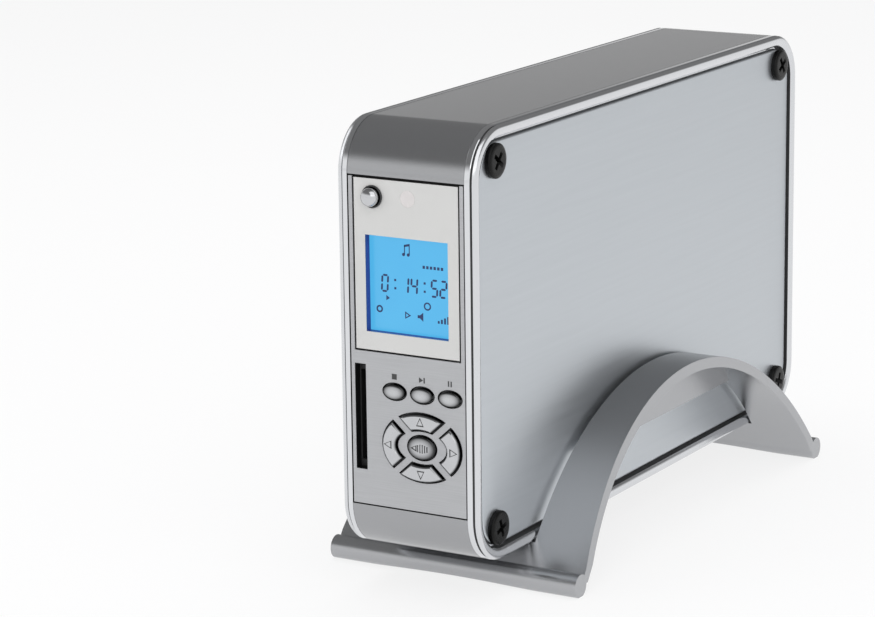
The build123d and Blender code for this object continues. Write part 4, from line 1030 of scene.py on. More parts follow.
def crossing(half_x, half_z, line_angle, offset):
    """The angle at which an oval meets a line beside its middle."""
    a, b = -math.sin(line_angle) * half_x, math.cos(line_angle) * half_z
    swing, lean = math.acos(offset / math.hypot(a, b)), math.atan2(b, a)
    options = [lean + swing, lean - swing]
    ahead = (math.cos(line_angle), math.sin(line_angle))
    return max(options, key=lambda t: ahead[0] * half_x * math.cos(t) + ahead[1] * half_z * math.sin(t))


def quarter(turn_count):
    """The outline of one arc key."""
    reach = 90 - bar_angle if turn_count % 2 else bar_angle
    low, high = math.radians(90 * turn_count - reach), math.radians(90 * turn_count + reach)
    line = []
    offset = bar_half + key_gap
    for half_x, half_z in (
        (pad_half_x - key_gap, pad_half_z - key_gap),
        (pad_hole_x + key_gap, pad_hole_z + key_gap),
    ):
        start = crossing(half_x, half_z, low, offset)
        end = crossing(half_x, half_z, high, -offset)
        while end < start:
            end += 2 * math.pi
        while end - start > 2 * math.pi:
            end -= 2 * math.pi
        turns = [start + (end - start) * i / arc_steps for i in range(arc_steps + 1)]
        run = [(pad_x + half_x * math.cos(t), pad_z + half_z * math.sin(t)) for t in turns]
        line.append(run)
    return line[0] + line[1][::-1]


power_key_x, power_key_z = -10.1 * mm, casing_low + 97.8 * mm
power_dome = domed(power_key_x, power_key_z, 2.5 * mm, 2.5 * mm, 1.2 * mm, 2.98 * mm)
finish_key(power_dome, "power")
collar_radius, collar_bore = 3.05 * mm, 2.62 * mm
collar_ends = [(power_key_x, front_y + y, power_key_z) for y in (0.3 * mm, -0.35 * mm)]
collar = rod("power_collar", *collar_ends, collar_radius, 64)
bore_ends = [(power_key_x, front_y + y, power_key_z) for y in (2 * mm, -2 * mm)]
combine(collar, rod("bore", *bore_ends, collar_bore, 64), "DIFFERENCE")
face_out(collar)
soften(collar, 0.14 * mm, 3)
collar_dark = Finish("collar_dark", Metallic=0.9, Roughness=0.25, Base_Color=silver(0.07))
collar_dark.uneven(1500.0, 0.1, 0.2)
trim(collar, collar_dark)
oval_half, middle_half = (3.2 * mm, 2.0 * mm), (4.2 * mm, 3.15 * mm)
for step, name in enumerate(("stop", "next", "pause")):
    x = key_row_x + (step - 1) * key_pitch
    finish_key(domed(x, key_row_z, *oval_half, 0.35 * mm, 0.99 * mm), name)
finish_key(domed(pad_x, pad_z, *middle_half, 0.3 * mm, 0.99 * mm), "centre")
for turn_count, name in enumerate(("right", "up", "left", "down")):
    finish_key(crowned(quarter(turn_count)), name)
mark_deep = 0.5 * mm
mark_y = key_front_y - 0.03 * mm
pad_middle = ((pad_half_x + pad_hole_x) / 2, (pad_half_z + pad_hole_z) / 2)


def triangle_mark(name, x, z, way, size, line_wide):
    """An outlined triangle that points along way."""

    def corner(forward_part, side_part):
        return (
            x + way[0] * forward_part + way[1] * side_part,
            z + way[1] * forward_part - way[0] * side_part,
        )

    def three(shrink):
        """The three corners, set in by a share of the size."""
        return [
            corner(size * (0.62 - shrink * 1.4), 0),
            corner(size * (shrink - 0.42), size * (0.5 - shrink)),
            corner(size * (shrink - 0.42), size * (shrink - 0.5)),
        ]

    mark = flat_shape(name, three(0), mark_y, mark_deep)
    combine(mark, flat_shape("inner", three(line_wide), key_front_y - mm, 3 * mm), "DIFFERENCE")
    return mark


for name, way in (("up", (0, 1)), ("down", (0, -1)), ("left", (-1, 0)), ("right", (1, 0))):
    x, z = pad_x + way[0] * pad_middle[0], pad_z + way[1] * pad_middle[1]
    mark = triangle_mark(name + "_mark", x, z, way, 2.3 * mm, 0.13)
    trim(mark, key_mark, name + "_key")
ribs = [triangle_mark("rib", pad_x - 1.9 * mm, pad_z, (-1, 0), 1.7 * mm, 0.16)]
for x, tall in ((-0.8, 1.9), (-0.1, 2.3), (0.6, 2.3), (1.3, 2.0), (2.0, 1.5)):
    spot = oblong(pad_x + x * mm, pad_z, 0.25 * mm, tall * mm)
    ribs.append(flat_shape("rib", spot, mark_y, mark_deep))
trim(group(ribs, "centre_ribs"), key_mark, "centre_key")

# ---------------------------------------------------------------- card reader
# A dark shell of stamped metal, soldered to the main board. It is open behind the tall
# slot in the bezel and takes a memory card.


def softened(node, name, width, segments=2):
    """A cleaned copy of a CAD piece with its edges rounded."""
    piece = copied(node, name)
    soften(piece, width, segments)
    return piece


def dress(node, name, width, finish, body="player", segments=2):
    """Puts a softened copy of a CAD piece in that piece's place."""
    stand_in(softened(node, name, width, segments), node, finish, body)


reader_dark = Finish("reader_dark", Metallic=0.3, Roughness=0.5, Base_Color=silver(0.03))
reader_dark.uneven(300.0, 0.2, 0.4)
dress("card_reader", "card_shell", 0.08 * mm, reader_dark)

# ---------------------------------------------------------------- rear panel
# The panel of the socket side: a plate painted pale silver, with a hole for each socket.
# Three black cross-head screws between the phono sockets hold their block.
rear_paint = Finish("rear_paint", Metallic=0.35, Roughness=0.34, Base_Color=silver(0.66))
rear_tone = rear_paint.blend(rear_paint.noise(900.0, 3.0), silver(0.63), silver(0.70))
# Behind its outer face, in the walls of its holes and on its back, the plate is near black and not
# metallic.
behind_face = rear_paint.axes()["Y"] < rear_y - 0.3 * mm
rear_paint.feed("Base Color", rear_paint.blend(behind_face, rear_tone, silver(0.02)))
rear_paint.feed("Metallic", 0.35 - behind_face * 0.35)
rear_paint.uneven(700.0, 0.08, 0.30)
dress("rear_panel", "rear_plate", 0.1 * mm, rear_paint)
panel_screw_x = 2.1 * mm
panel_screw_z = casing_low + 56.6 * mm
jack_pitch = 14.0 * mm
panel_screw_sizes = (2.9 * mm, 1.5 * mm, 0.5 * mm, 1.4 * mm, 7.0 * mm)
panel_screw_cross = (3.5 * mm, 0.85 * mm, 1.1 * mm)
screws = []
for step, slot_turn in enumerate((48, 12, 35)):
    place = (panel_screw_x, rear_y, panel_screw_z + step * jack_pitch)
    screws.append((place, (0, 1, 0), slot_turn))
panel_screws = screw_set("panel_screws", screws, panel_screw_sizes, panel_screw_cross)
stand_in(panel_screws, "rear_panel_screws", screw_black)

# ---------------------------------------------------------------- phono sockets
# Seven sockets on one moulded block. Each has a turned, nickel-plated sleeve with a
# notched flange and a coloured plastic core with a hole for the plug's pin.
sleeve_radius = 4.15 * mm
sleeve_bore = 3.25 * mm
sleeve_reach = 8.8 * mm
sleeve_root = 6.4 * mm
flange_radius = 5.4 * mm
flange_wall = 1.0 * mm
core_sink = 1.2 * mm
core_radius = 3.2 * mm
pin_radius = 1.7 * mm
jack_low_z = casing_low + 50.0 * mm
nickel = Finish("nickel_plate", Metallic=1.0, Roughness=0.2, Base_Color=(0.50, 0.49, 0.47, 1))
nickel.mottled(400.0, (0.46, 0.45, 0.43, 1), (0.55, 0.54, 0.52, 1))
nickel.uneven(1200.0, 0.12, 0.14)


def jack_sleeve(x, z):
    """One sleeve with its flange, collar, rounded lip and notches."""
    lip = 0.35 * mm
    root = sleeve_root - 0.5 * mm
    profile = [
        (sleeve_radius, -root),
        (sleeve_radius, 0.02 * mm),
        (flange_radius, 0.02 * mm),
        (flange_radius, flange_wall),
        (flange_radius - 0.55 * mm, flange_wall),
        (flange_radius - 0.55 * mm, flange_wall - 0.45 * mm),
        (sleeve_radius, flange_wall - 0.45 * mm),
        (sleeve_radius, sleeve_reach - 3.1 * mm),
        (sleeve_radius - 0.22 * mm, sleeve_reach - 2.9 * mm),
        (sleeve_radius - 0.22 * mm, sleeve_reach - 2.5 * mm),
        (sleeve_radius, sleeve_reach - 2.3 * mm),
        (sleeve_radius, sleeve_reach - lip),
        (sleeve_radius - lip * 0.3, sleeve_reach - lip * 0.3),
        (sleeve_radius - lip, sleeve_reach),
        (sleeve_bore + 0.12 * mm, sleeve_reach),
        (sleeve_bore, sleeve_reach - 0.12 * mm),
        (sleeve_bore, 0.6 * mm - root),
    ]
    piece = turned("sleeve", (x, rear_y, z), (0, 1, 0), profile)
    for turn_angle in (80, 215, 325):
        angle = math.radians(turn_angle)
        middle_radius = flange_radius + 0.1 * mm
        notch = box("notch", (-0.8 * mm, 0.25 * mm, -0.75 * mm), (0.8 * mm, 2 * mm, 0.75 * mm))
        for vertex in notch.data.vertices:
            spun = Matrix.Rotation(-angle, 3, "Y") @ vertex.co
            vertex.co = spun + Vector(
                (x + middle_radius * math.cos(angle), rear_y, z + middle_radius * math.sin(angle))
            )
        combine(piece, notch, "DIFFERENCE")
    face_out(piece)
    soften(piece, 0.0)
    return piece


def jack_core(x, z):
    """One plastic core: a ring with a rounded face round the pin's hole."""
    face = sleeve_reach - core_sink
    profile = [
        (core_radius, -sleeve_root + 0.6 * mm),
        (core_radius, face - 0.1 * mm),
        (core_radius - 0.1 * mm, face),
        (pin_radius + 0.25 * mm, face),
        (pin_radius + 0.05 * mm, face - 0.12 * mm),
        (pin_radius, face - 0.3 * mm),
        (pin_radius, face - 6.0 * mm),
    ]
    piece = turned("core", (x, rear_y, z), (0, 1, 0), profile)
    soften(piece, 0.0)
    return piece


def core_plastic(name, colour, deep):
    """Glossy plastic, painted dark down in the pin's hole as a painted shade; deep is the shaded colour
    there.
    """
    finish = Finish(name, Roughness=0.25, Base_Color=colour)
    face = rear_y + sleeve_reach - core_sink
    inside = finish.axes()["Y"] < face - 0.35 * mm
    tint = finish.blend(finish.noise(900.0), colour, [c * 0.86 for c in colour[:3]] + [1])
    finish.feed("Base Color", finish.blend(inside, tint, deep))
    finish.uneven(1100.0, 0.1, 0.2)
    return finish


def copy_at(piece, step):
    """A copy of a piece, with its own mesh, moved by a step."""
    take(piece)
    bpy.ops.object.duplicate()
    twin = bpy.context.object
    bpy.ops.transform.translate(value=step)
    bpy.ops.object.transform_apply(location=True, rotation=True, scale=True)
    return twin


# The second colour of each core is its painted shade down the pin's hole.
jack_red = core_plastic("jack_red", (0.55, 0.025, 0.02, 1), (0.02, 0.004, 0.004, 1))
jack_grey = core_plastic("jack_grey", (0.56, 0.53, 0.54, 1), (0.025, 0.006, 0.008, 1))
right_jack_x, left_jack_x = 8.1 * mm, -5.5 * mm
first_sleeve = jack_sleeve(right_jack_x, jack_low_z)
first_core = jack_core(right_jack_x, jack_low_z)
first_washer = rod(
    "washer",
    (right_jack_x, rear_y + 0.1 * mm, jack_low_z),
    (right_jack_x, rear_y + 0.62 * mm, jack_low_z),
    flange_radius - 0.57 * mm,
)
sleeves, washers, red_cores, grey_cores = [], [], [], []
for x, count, cores in ((right_jack_x, 4, red_cores), (left_jack_x, 3, grey_cores)):
    for step in range(count):
        shift = (x - right_jack_x, 0, step * jack_pitch)
        sleeves.append(copy_at(first_sleeve, shift))
        washers.append(copy_at(first_washer, shift))
        cores.append(copy_at(first_core, shift))
for first in (first_sleeve, first_core, first_washer):
    bpy.data.objects.remove(first, do_unlink=True)
stand_in(group(sleeves, "phono_sleeves"), "jack_sleeves", nickel)
stand_in(group(red_cores, "red_cores"), "right_jack_inserts", jack_red)
stand_in(group(grey_cores, "grey_cores"), "left_jack_inserts", jack_grey)
block_black = Finish("block_black", Roughness=0.5, Base_Color=silver(0.02))
block_black.uneven(900.0, 0.2, 0.4, 3.0)
block_black.rough(block_black.noise(1600.0, 2.0), 0.1, 0.03 * mm)
dress("jack_block", "phono_block", 0.3 * mm, block_black)
flange_fill = group(washers, "flange_washers")
soften(flange_fill, 0.05 * mm, 2)
trim(flange_fill, block_black)

# ---------------------------------------------------------------- plug sockets
# Shells of folded, plated steel with a black tongue inside: the tall digital video
# socket, the mini USB and the USB socket. The small video socket is moulded in black.
digital_x, digital_z = -5.9 * mm, casing_low + 94.4 * mm
mini_x, mini_z = -7.5 * mm, casing_low + 35.9 * mm
usb_x, usb_z = 11.25 * mm, casing_low + 22.0 * mm
video_x, video_z = 10.3 * mm, casing_low + 36.5 * mm
shell_plate = Finish("shell_plate", Metallic=1.0, Roughness=0.24, Base_Color=(0.6, 0.59, 0.57, 1))


def dark_inside(finish, metal, deep, places, depth):
    """Metal outside, black inside an opening, partly the black tongue there and partly a painted shade
    deep in the opening: places are x, z, half width, half height.
    """
    parts = finish.axes()
    inside = None
    for x, z, half_x, half_z in places:
        hole = within(parts, (x - half_x, z - half_z), (x + half_x, z + half_z))
        hole = hole * (parts["Y"] < rear_y + depth)
        inside = hole if inside is None else inside + hole
    finish.feed("Base Color", finish.blend(inside, metal, deep))
    finish.feed("Metallic", 1.0 - inside)
    finish.feed("Roughness", finish.noise(1100.0) * 0.12 + inside * 0.25 + 0.16)


shell_haze = shell_plate.noise(500.0)
shell_tint = shell_plate.blend(shell_haze, (0.56, 0.55, 0.53, 1), (0.66, 0.65, 0.63, 1))
holes = (
    (digital_x, digital_z, 2.5 * mm, 6.8 * mm),
    (mini_x, mini_z, 1.6 * mm, 3.45 * mm),
    (usb_x, usb_z, 3.0 * mm, 6.2 * mm),
)
dark_inside(shell_plate, shell_tint, silver(0.012), holes, 0.7 * mm)
for node, name in (
    ("digital_video_socket", "digital_video_shell"),
    ("mini_usb_socket", "mini_usb_shell"),
    ("usb_socket", "usb_shell"),
):
    dress(node, name, 0.08 * mm, shell_plate)
dress("analogue_video_socket", "video_moulding", 0.12 * mm, block_black)
video_rim = Finish("video_rim", Metallic=1.0, Roughness=0.22, Base_Color=(0.55, 0.54, 0.52, 1))
video_rim.uneven(1200.0, 0.1, 0.18)


def ring_shape(name, points, inner, y, depth):
    """A flat frame between two outlines of x and z, facing +Y."""
    piece = flat_shape(name, points, y, depth)
    combine(piece, flat_shape("inner", inner, y - 2 * mm, 4 * mm), "DIFFERENCE")
    return piece


def eight_sides(x, z, half_x, half_z, cut):
    """An upright oblong with cut corners."""
    return [
        (x - half_x + cut, z - half_z),
        (x + half_x - cut, z - half_z),
        (x + half_x, z - half_z + cut),
        (x + half_x, z + half_z - cut),
        (x + half_x - cut, z + half_z),
        (x - half_x + cut, z + half_z),
        (x - half_x, z + half_z - cut),
        (x - half_x, z - half_z + cut),
    ]


video_frame = ring_shape(
    "video_frame",
    eight_sides(video_x, video_z, 3.75 * mm, 5.35 * mm, 2.0 * mm),
    eight_sides(video_x, video_z, 3.15 * mm, 4.75 * mm, 1.75 * mm),
    rear_y + 0.02 * mm,
    0.38 * mm,
)
soften(video_frame, 0.1 * mm, 2)
trim(video_frame, video_rim)
springs = []
for side in (-1, 1):
    middle_x = usb_x + side * 2.35 * mm
    low = (middle_x - 0.55 * mm, rear_y - 8 * mm, usb_z - 5.5 * mm)
    high = (middle_x + 0.55 * mm, rear_y + 0.15 * mm, usb_z + 5.5 * mm)
    springs.append(box("spring", low, high))
    soften(springs[-1], 0.15 * mm, 2)
for level in (-1, 1):
    z = usb_z + level * 2.3 * mm
    low, high = (usb_x, rear_y - 3 * mm, z), (usb_x, rear_y + 0.25 * mm, z)
    springs.append(rod("spring", low, high, 0.5 * mm, 24))
    soften(springs[-1], 0.15 * mm, 2)
    z = usb_z + level * 5.6 * mm
    low = (usb_x - 1.2 * mm, rear_y - 8 * mm, z - 0.3 * mm)
    springs.append(box("spring", low, (usb_x + 1.2 * mm, rear_y + 0.15 * mm, z + 0.3 * mm)))
    soften(springs[-1], 0.1 * mm, 2)
trim(group(springs, "usb_springs"), video_rim)

# ---------------------------------------------------------------- power socket
# A square moulding in ivory plastic with a round opening. Inside it a plated ring goes
# round a black core with holes for the four pins and the key.
power_x, power_z = -3.5 * mm, casing_low + 22.0 * mm
power_bore = 4.5 * mm
ring_wall = 0.3 * mm
ivory = Finish("ivory_plastic", Roughness=0.45, Base_Color=(0.70, 0.67, 0.57, 1))
ivory.mottled(120.0, (0.66, 0.63, 0.53, 1), (0.73, 0.70, 0.61, 1))
ivory.uneven(900.0, 0.12, 0.4, 3.0)
housing_low = (power_x - 6.7 * mm, rear_y - 11.5 * mm, power_z - 6.8 * mm)
housing_high = (power_x + 6.7 * mm, rear_y + 0.5 * mm, power_z + 6.8 * mm)
power_housing = box("power_housing", housing_low, housing_high)
bore_ends = [(power_x, rear_y + y, power_z) for y in (-7.5 * mm, 2 * mm)]
combine(power_housing, rod("bore", *bore_ends, power_bore), "DIFFERENCE")
face_out(power_housing)
soften(power_housing, 0.2 * mm, 2)
stand_in(power_housing, "power_socket", ivory)
ring_profile = [
    (power_bore - 0.02 * mm, -6.0 * mm),
    (power_bore - 0.02 * mm, 0.2 * mm),
    (power_bore - 0.1 * mm, 0.3 * mm),
    (power_bore - ring_wall, 0.3 * mm),
    (power_bore - ring_wall, -5.8 * mm),
]
power_ring = turned("power_ring", (power_x, rear_y, power_z), (0, 1, 0), ring_profile)
soften(power_ring, 0.0)
trim(power_ring, video_rim)
core_top = -1.0 * mm
power_core = rod(
    "power_core",
    (power_x, rear_y - 5.9 * mm, power_z),
    (power_x, rear_y + core_top, power_z),
    power_bore - ring_wall - 0.02 * mm,
)
for spot_x, spot_z, half_x, half_z in (
    (-1.75, 1.3, 0.5, 0.7),
    (1.75, 1.3, 0.5, 0.7),
    (-1.75, -1.3, 0.5, 0.7),
    (1.75, -1.3, 0.5, 0.7),
    (0, -2.7, 1.0, 0.45),
    (0, 0.4, 0.55, 0.9),
    (0, 2.9, 0.8, 0.5),
):
    low = (power_x + (spot_x - half_x) * mm, rear_y - 5 * mm, power_z + (spot_z - half_z) * mm)
    high = (power_x + (spot_x + half_x) * mm, rear_y, power_z + (spot_z + half_z) * mm)
    combine(power_core, box("pin_hole", low, high), "DIFFERENCE")
face_out(power_core)
soften(power_core, 0.08 * mm, 2)
trim(power_core, block_black)

# ---------------------------------------------------------------- boards
# Four circuit boards of green-lacquered glass fibre with tinned pads: one behind the
# keys, the main board on its standoffs, a small one for the side sockets, and the
# drive's own. Small screws hold them; black chips and a finned heat sink sit on them.
pad_pitch = 2.54 * mm
track_pitch = 1.27 * mm


def circuit_green(name, first, second):
    """Lacquer over copper tracks, with tinned pads; first and second name the board's axes."""
    finish = Finish(name, Roughness=0.35, Base_Color=(0.015, 0.11, 0.045, 1))
    parts = finish.axes()
    both = {"X": parts[first] + 1.0, "Y": parts[second] + 1.0}
    flat = finish.add("ShaderNodeCombineXYZ", {}, both)["Vector"]

    def line(wire, thick):
        """One inside the thin lines of a regular row, nought between them."""
        turns = finish.add("ShaderNodeMath", {"operation": "FRACT"}, {0: wire * (1 / track_pitch)})
        return abs(turns["Value"] - 0.5) < thick

    patches = finish.add(
        "ShaderNodeTexVoronoi",
        {"voronoi_dimensions": "2D", "distance": "CHEBYCHEV"},
        {"Vector": flat, "Scale": 75.0},
    )
    pick = finish.add("ShaderNodeSeparateColor", {}, {"Color": patches["Color"]})
    along = pick["Red"] > 0.5
    laid = pick["Green"] > 0.3
    runs = along * line(parts[first] + 1.0, 0.2) + (1 - along) * line(parts[second] + 1.0, 0.2)
    tracks = runs * laid
    grid = finish.add(
        "ShaderNodeTexVoronoi",
        {"voronoi_dimensions": "2D"},
        {"Vector": flat, "Scale": 1 / pad_pitch, "Randomness": 0.0},
    )
    chance = finish.add("ShaderNodeSeparateColor", {}, {"Color": grid["Color"]})["Red"]
    pads = (grid["Distance"] < 0.24) * (chance > 0.66)
    cloud = finish.noise(140.0)
    base = finish.blend(cloud, (0.012, 0.095, 0.04, 1), (0.018, 0.125, 0.052, 1))
    tracked = finish.blend(tracks, base, (0.03, 0.19, 0.08, 1))
    finish.feed("Base Color", finish.blend(pads, tracked, (0.6, 0.6, 0.58, 1)))
    finish.feed("Metallic", pads * 0.9)
    finish.feed("Roughness", cloud * 0.08 + 0.3)
    finish.rough(tracks * 0.6 + pads, 0.5, 0.03 * mm)
    return finish


green_end = circuit_green("lacquer_green_ends", "X", "Z")
green_side = circuit_green("lacquer_green_sides", "Y", "Z")
dress("front_board", "key_board", 0.1 * mm, green_end)
for node, name, body in (
    ("main_board", "player_board", "player"),
    ("io_board", "socket_board", "player"),
    ("drive_board", "drive_circuit", "drive_drawer"),
):
    dress(node, name, 0.1 * mm, green_side, body)

small_zinc = Finish("small_zinc", Metallic=1.0, Roughness=0.28, Base_Color=(0.56, 0.57, 0.60, 1))
small_zinc.mottled(500.0, (0.5, 0.51, 0.54, 1), (0.62, 0.62, 0.6, 1))
small_zinc.uneven(1500.0, 0.14, 0.22)
small_sizes = (1.7 * mm, 1.1 * mm, 0.4 * mm, 0.8 * mm, 4.0 * mm)
small_cross = (2.0 * mm, 0.5 * mm, 0.7 * mm)
board_sizes = (1.9 * mm, 1.1 * mm, 0.4 * mm, 1.2 * mm, 4.0 * mm)
front_board_back = front_y + 10.2 * mm
screws = []
for number, (x, z) in enumerate(((-13.4, 91.3), (13.4, 91.3), (-8.0, 18.5), (13.4, 18.5))):
    place = (x * mm, front_board_back, casing_low + z * mm)
    screws.append((place, (0, 1, 0), 20 + 31 * number))
key_board_screws = screw_set("key_board_screws", screws, small_sizes, small_cross)
stand_in(key_board_screws, "front_board_screws", small_zinc)
main_board_face = -10.2 * mm
board_screw_y = casing_length / 2 - 17.4 * mm
board_screw_z = casing_height / 2 - 20.0 * mm
screws = []
for end in (-1, 1):
    for level in (-1, 1):
        place = (main_board_face, casing_y + end * board_screw_y, casing_mid_z + level * board_screw_z)
        screws.append((place, (1, 0, 0), 40 + 25 * end))
player_board_screws = screw_set("player_board_screws", screws, board_sizes, small_cross)
stand_in(player_board_screws, "board_screws", small_zinc)

chip_epoxy = Finish("chip_epoxy", Roughness=0.5, Base_Color=silver(0.025))
chip_epoxy.uneven(3000.0, 0.2, 0.4, 3.0)
chip_epoxy.rough(chip_epoxy.noise(5000.0, 2.0), 0.2, 0.01 * mm)
main_board_back = -11.6 * mm
chip_top = main_board_back - 1.2 * mm
chip_places = ((-46.0, 30.0), (-46.0, 8.0), (30.0, 34.0), (30.0, -34.0), (58.0, 0.0))
dimple_shift = 5.8
leg_pitch = 1.15
leg_row_gap = 17.2 * mm
chips = softened("board_chips", "player_chips", 0.2 * mm)
for y, z in chip_places:
    dimple_y, dimple_z = casing_y + (y + dimple_shift) * mm, casing_mid_z + (z + dimple_shift) * mm
    spot = Vector((chip_top, dimple_y, dimple_z))
    dimple = rod("dimple", spot - Vector((mm, 0, 0)), spot + Vector((0.15 * mm, 0, 0)), 0.8 * mm, 24)
    combine(chips, dimple, "DIFFERENCE")
face_out(chips)
soften(chips, 0.0)
stand_in(chips, "board_chips", chip_epoxy)
legs = []
leg_low = (main_board_back - 0.5 * mm, -0.2 * mm, 8.0 * mm)
leg_one = box("leg", leg_low, (main_board_back, 0.2 * mm, 9.2 * mm))
soften(leg_one, 0.08 * mm, 2)
for y, z in chip_places:
    for step in range(-6, 7):
        leg_y, leg_z = casing_y + (y + leg_pitch * step) * mm, casing_mid_z + z * mm
        legs.append(copy_at(leg_one, (0, leg_y, leg_z)))
        legs.append(copy_at(leg_one, (0, leg_y, leg_z - leg_row_gap)))
bpy.data.objects.remove(leg_one, do_unlink=True)
trim(group(legs, "chip_legs"), small_zinc)
sink_black = Finish("sink_black", Metallic=0.8, Roughness=0.42, Base_Color=silver(0.06))
sink_black.uneven(800.0, 0.15, 0.36, 3.0, (1, 0.05, 1))
dress("heat_sink", "finned_sink", 0.15 * mm, sink_black)
switch_black = Finish("switch_black", Roughness=0.45, Base_Color=silver(0.03))
switch_black.uneven(1800.0, 0.15, 0.38)
dress("key_switches", "small_switches", 0.2 * mm, switch_black)
light_blue = Finish("light_box_blue", Roughness=0.5, Base_Color=(0.30, 0.58, 0.82, 1))
light_blue.uneven(400.0, 0.1, 0.45)
dress("display_light_box", "light_box", 0.3 * mm, light_blue)

# ---------------------------------------------------------------- chassis and posts
# A punched sheet of zinc-coated steel under the left side plate carries the main board
# on four standoffs. Two turned posts between the sides take the upper corner screws.
sheet_zinc = Finish("zinc_sheet", Metallic=0.95, Roughness=0.36, Base_Color=(0.52, 0.53, 0.55, 1))
cells = {"Vector": sheet_zinc.place(), "Scale": 260.0}
spangle = sheet_zinc.add("ShaderNodeTexVoronoi", {}, cells)["Color"]
grey = sheet_zinc.add("ShaderNodeSeparateColor", {}, {"Color": spangle})["Red"]
sheet_zinc.feed("Base Color", sheet_zinc.blend(grey, (0.48, 0.49, 0.52, 1), (0.57, 0.58, 0.60, 1)))
sheet_zinc.feed("Roughness", grey * 0.14 + 0.28)
dress("chassis", "chassis_sheet", 0.12 * mm, sheet_zinc)
turned_steel = Finish("turned_steel", Metallic=1.0, Roughness=0.25, Base_Color=(0.58, 0.59, 0.61, 1))
turned_steel.uneven(1500.0, 0.14, 0.2, 3.0, (0.05, 1, 1))
dress("upper_posts", "turned_posts", 0.3 * mm, turned_steel)

# ---------------------------------------------------------------- drive tray
# A channel folded from zinc-coated steel, with stamped stiffening beads. Two screws
# hang it from the bosses of the upper cover, and four hold the drive in it.
tray_face = 17.3 * mm
tray_near, tray_far = front_y + 30.3 * mm, front_y + 177.3 * mm
tray_mid_z = casing_low + 58.5 * mm
bead_deep = 0.4 * mm
tray = softened("drive_tray", "hanging_tray", 0.12 * mm)
for z in (-32.0, 0.0, 32.0):
    middle_z = tray_mid_z + z * mm
    near = arc((tray_near + 22 * mm, middle_z), 3.0 * mm, 90, 270, 16)
    far = arc((tray_far - 22 * mm, middle_z), 3.0 * mm, -90, 90, 16)
    groove = outline("groove", [(tray_face - bead_deep, y, z) for y, z in near + far])
    push((mm, 0, 0))
    face_out(groove)
    combine(tray, groove, "DIFFERENCE")
face_out(tray)
soften(tray, 0.15 * mm, 2, 50)
stand_in(tray, "drive_tray", sheet_zinc, "drive_drawer")
tray_wall = 1.0 * mm
screws = []
for number, y in enumerate((tray_near_y, tray_far_y)):
    screws.append(((boss_x, y, tray_top_z - tray_wall), (0, 0, -1), 25 + 40 * number))
tray_screws = screw_set("tray_hanging_screws", screws, small_sizes, small_cross)
stand_in(tray_screws, "tray_screws", small_zinc, "drive_drawer")
drive_sizes = (2.9 * mm, 1.3 * mm, 0.45 * mm, 1.6 * mm, 4.0 * mm)
drive_cross = (3.4 * mm, 0.75 * mm, 0.9 * mm)
drive_hole_x = -9.8 * mm + 6.35 * mm
screws = []
for way in (-1, 1):
    for step in (0, 1):
        y = tray_near + 28.5 * mm + step * 101.6 * mm
        screws.append(((drive_hole_x, y, tray_mid_z + way * 51.8 * mm), (0, 0, way), 15 + 50 * step))
drive_screws = screw_set("drive_holding_screws", screws, drive_sizes, drive_cross)
stand_in(drive_screws, "drive_screws", small_zinc, "drive_drawer")

# ---------------------------------------------------------------- hard drive
# A 3.5 inch drive: an aluminium casting, a steel lid towards the tray, and its circuit
# board on the other side, with the hub of the motor and five screws showing.
cast = Finish("cast_aluminium", Metallic=0.85, Roughness=0.48, Base_Color=(0.38, 0.39, 0.40, 1))
pits = cast.noise(1600.0, 4.0)
cast.feed("Base Color", cast.blend(pits, (0.34, 0.35, 0.36, 1), (0.43, 0.44, 0.45, 1)))
cast.feed("Roughness", pits * 0.2 + 0.38)
cast.rough(pits, 0.25, 0.05 * mm)
dress("hard_drive", "drive_casting", 0.35 * mm, cast, "drive_drawer")
dress("drive_lid", "drive_cover", 0.3 * mm, turned_steel, "drive_drawer")
shown_x = -9.48 * mm
hub_profile = [
    (12.5 * mm, 0.0),
    (12.5 * mm, 0.14 * mm),
    (12.2 * mm, 0.24 * mm),
    (9.6 * mm, 0.24 * mm),
    (9.4 * mm, 0.1 * mm),
    (5.0 * mm, 0.1 * mm),
    (4.8 * mm, 0.24 * mm),
]
pin_profile = [(2.4 * mm, 0.0), (2.4 * mm, 0.16 * mm), (2.2 * mm, 0.24 * mm)]
pin_profile += [(1.1 * mm, 0.24 * mm), (1.0 * mm, 0.08 * mm)]
hub_place = (shown_x, tray_near + 88 * mm, tray_mid_z)
shown = [turned("hub", hub_place, (-1, 0, 0), hub_profile, 64)]
for y, z in ((14, 36), (14, -36), (70, 38), (70, -38), (118, 34)):
    place = (shown_x, tray_near + y * mm, tray_mid_z + z * mm)
    shown.append(turned("pin", place, (-1, 0, 0), pin_profile, 24))
hub = group(shown, "hub_and_pins")
soften(hub, 0.0)
trim(hub, turned_steel, "drive_drawer")

# ---------------------------------------------------------------- leads
# Black leads with moulded plugs: one from the main board to the drive, which lifts
# away with the tray, and a flat one to the board behind the keys. Dark headers take them.
lead_black = Finish("lead_black", Roughness=0.55, Base_Color=silver(0.025))
lead_black.uneven(900.0, 0.2, 0.45, 3.0)
header_dark = Finish("header_dark", Roughness=0.45, Base_Color=(0.05, 0.05, 0.055, 1))
header_dark.uneven(1200.0, 0.15, 0.4)
dress("board_headers", "lead_headers", 0.15 * mm, header_dark)
dress("drive_lead", "drive_cable", 0.25 * mm, lead_black, "drive_drawer", 3)
dress("front_lead", "key_cable", 0.25 * mm, lead_black, "player", 3)

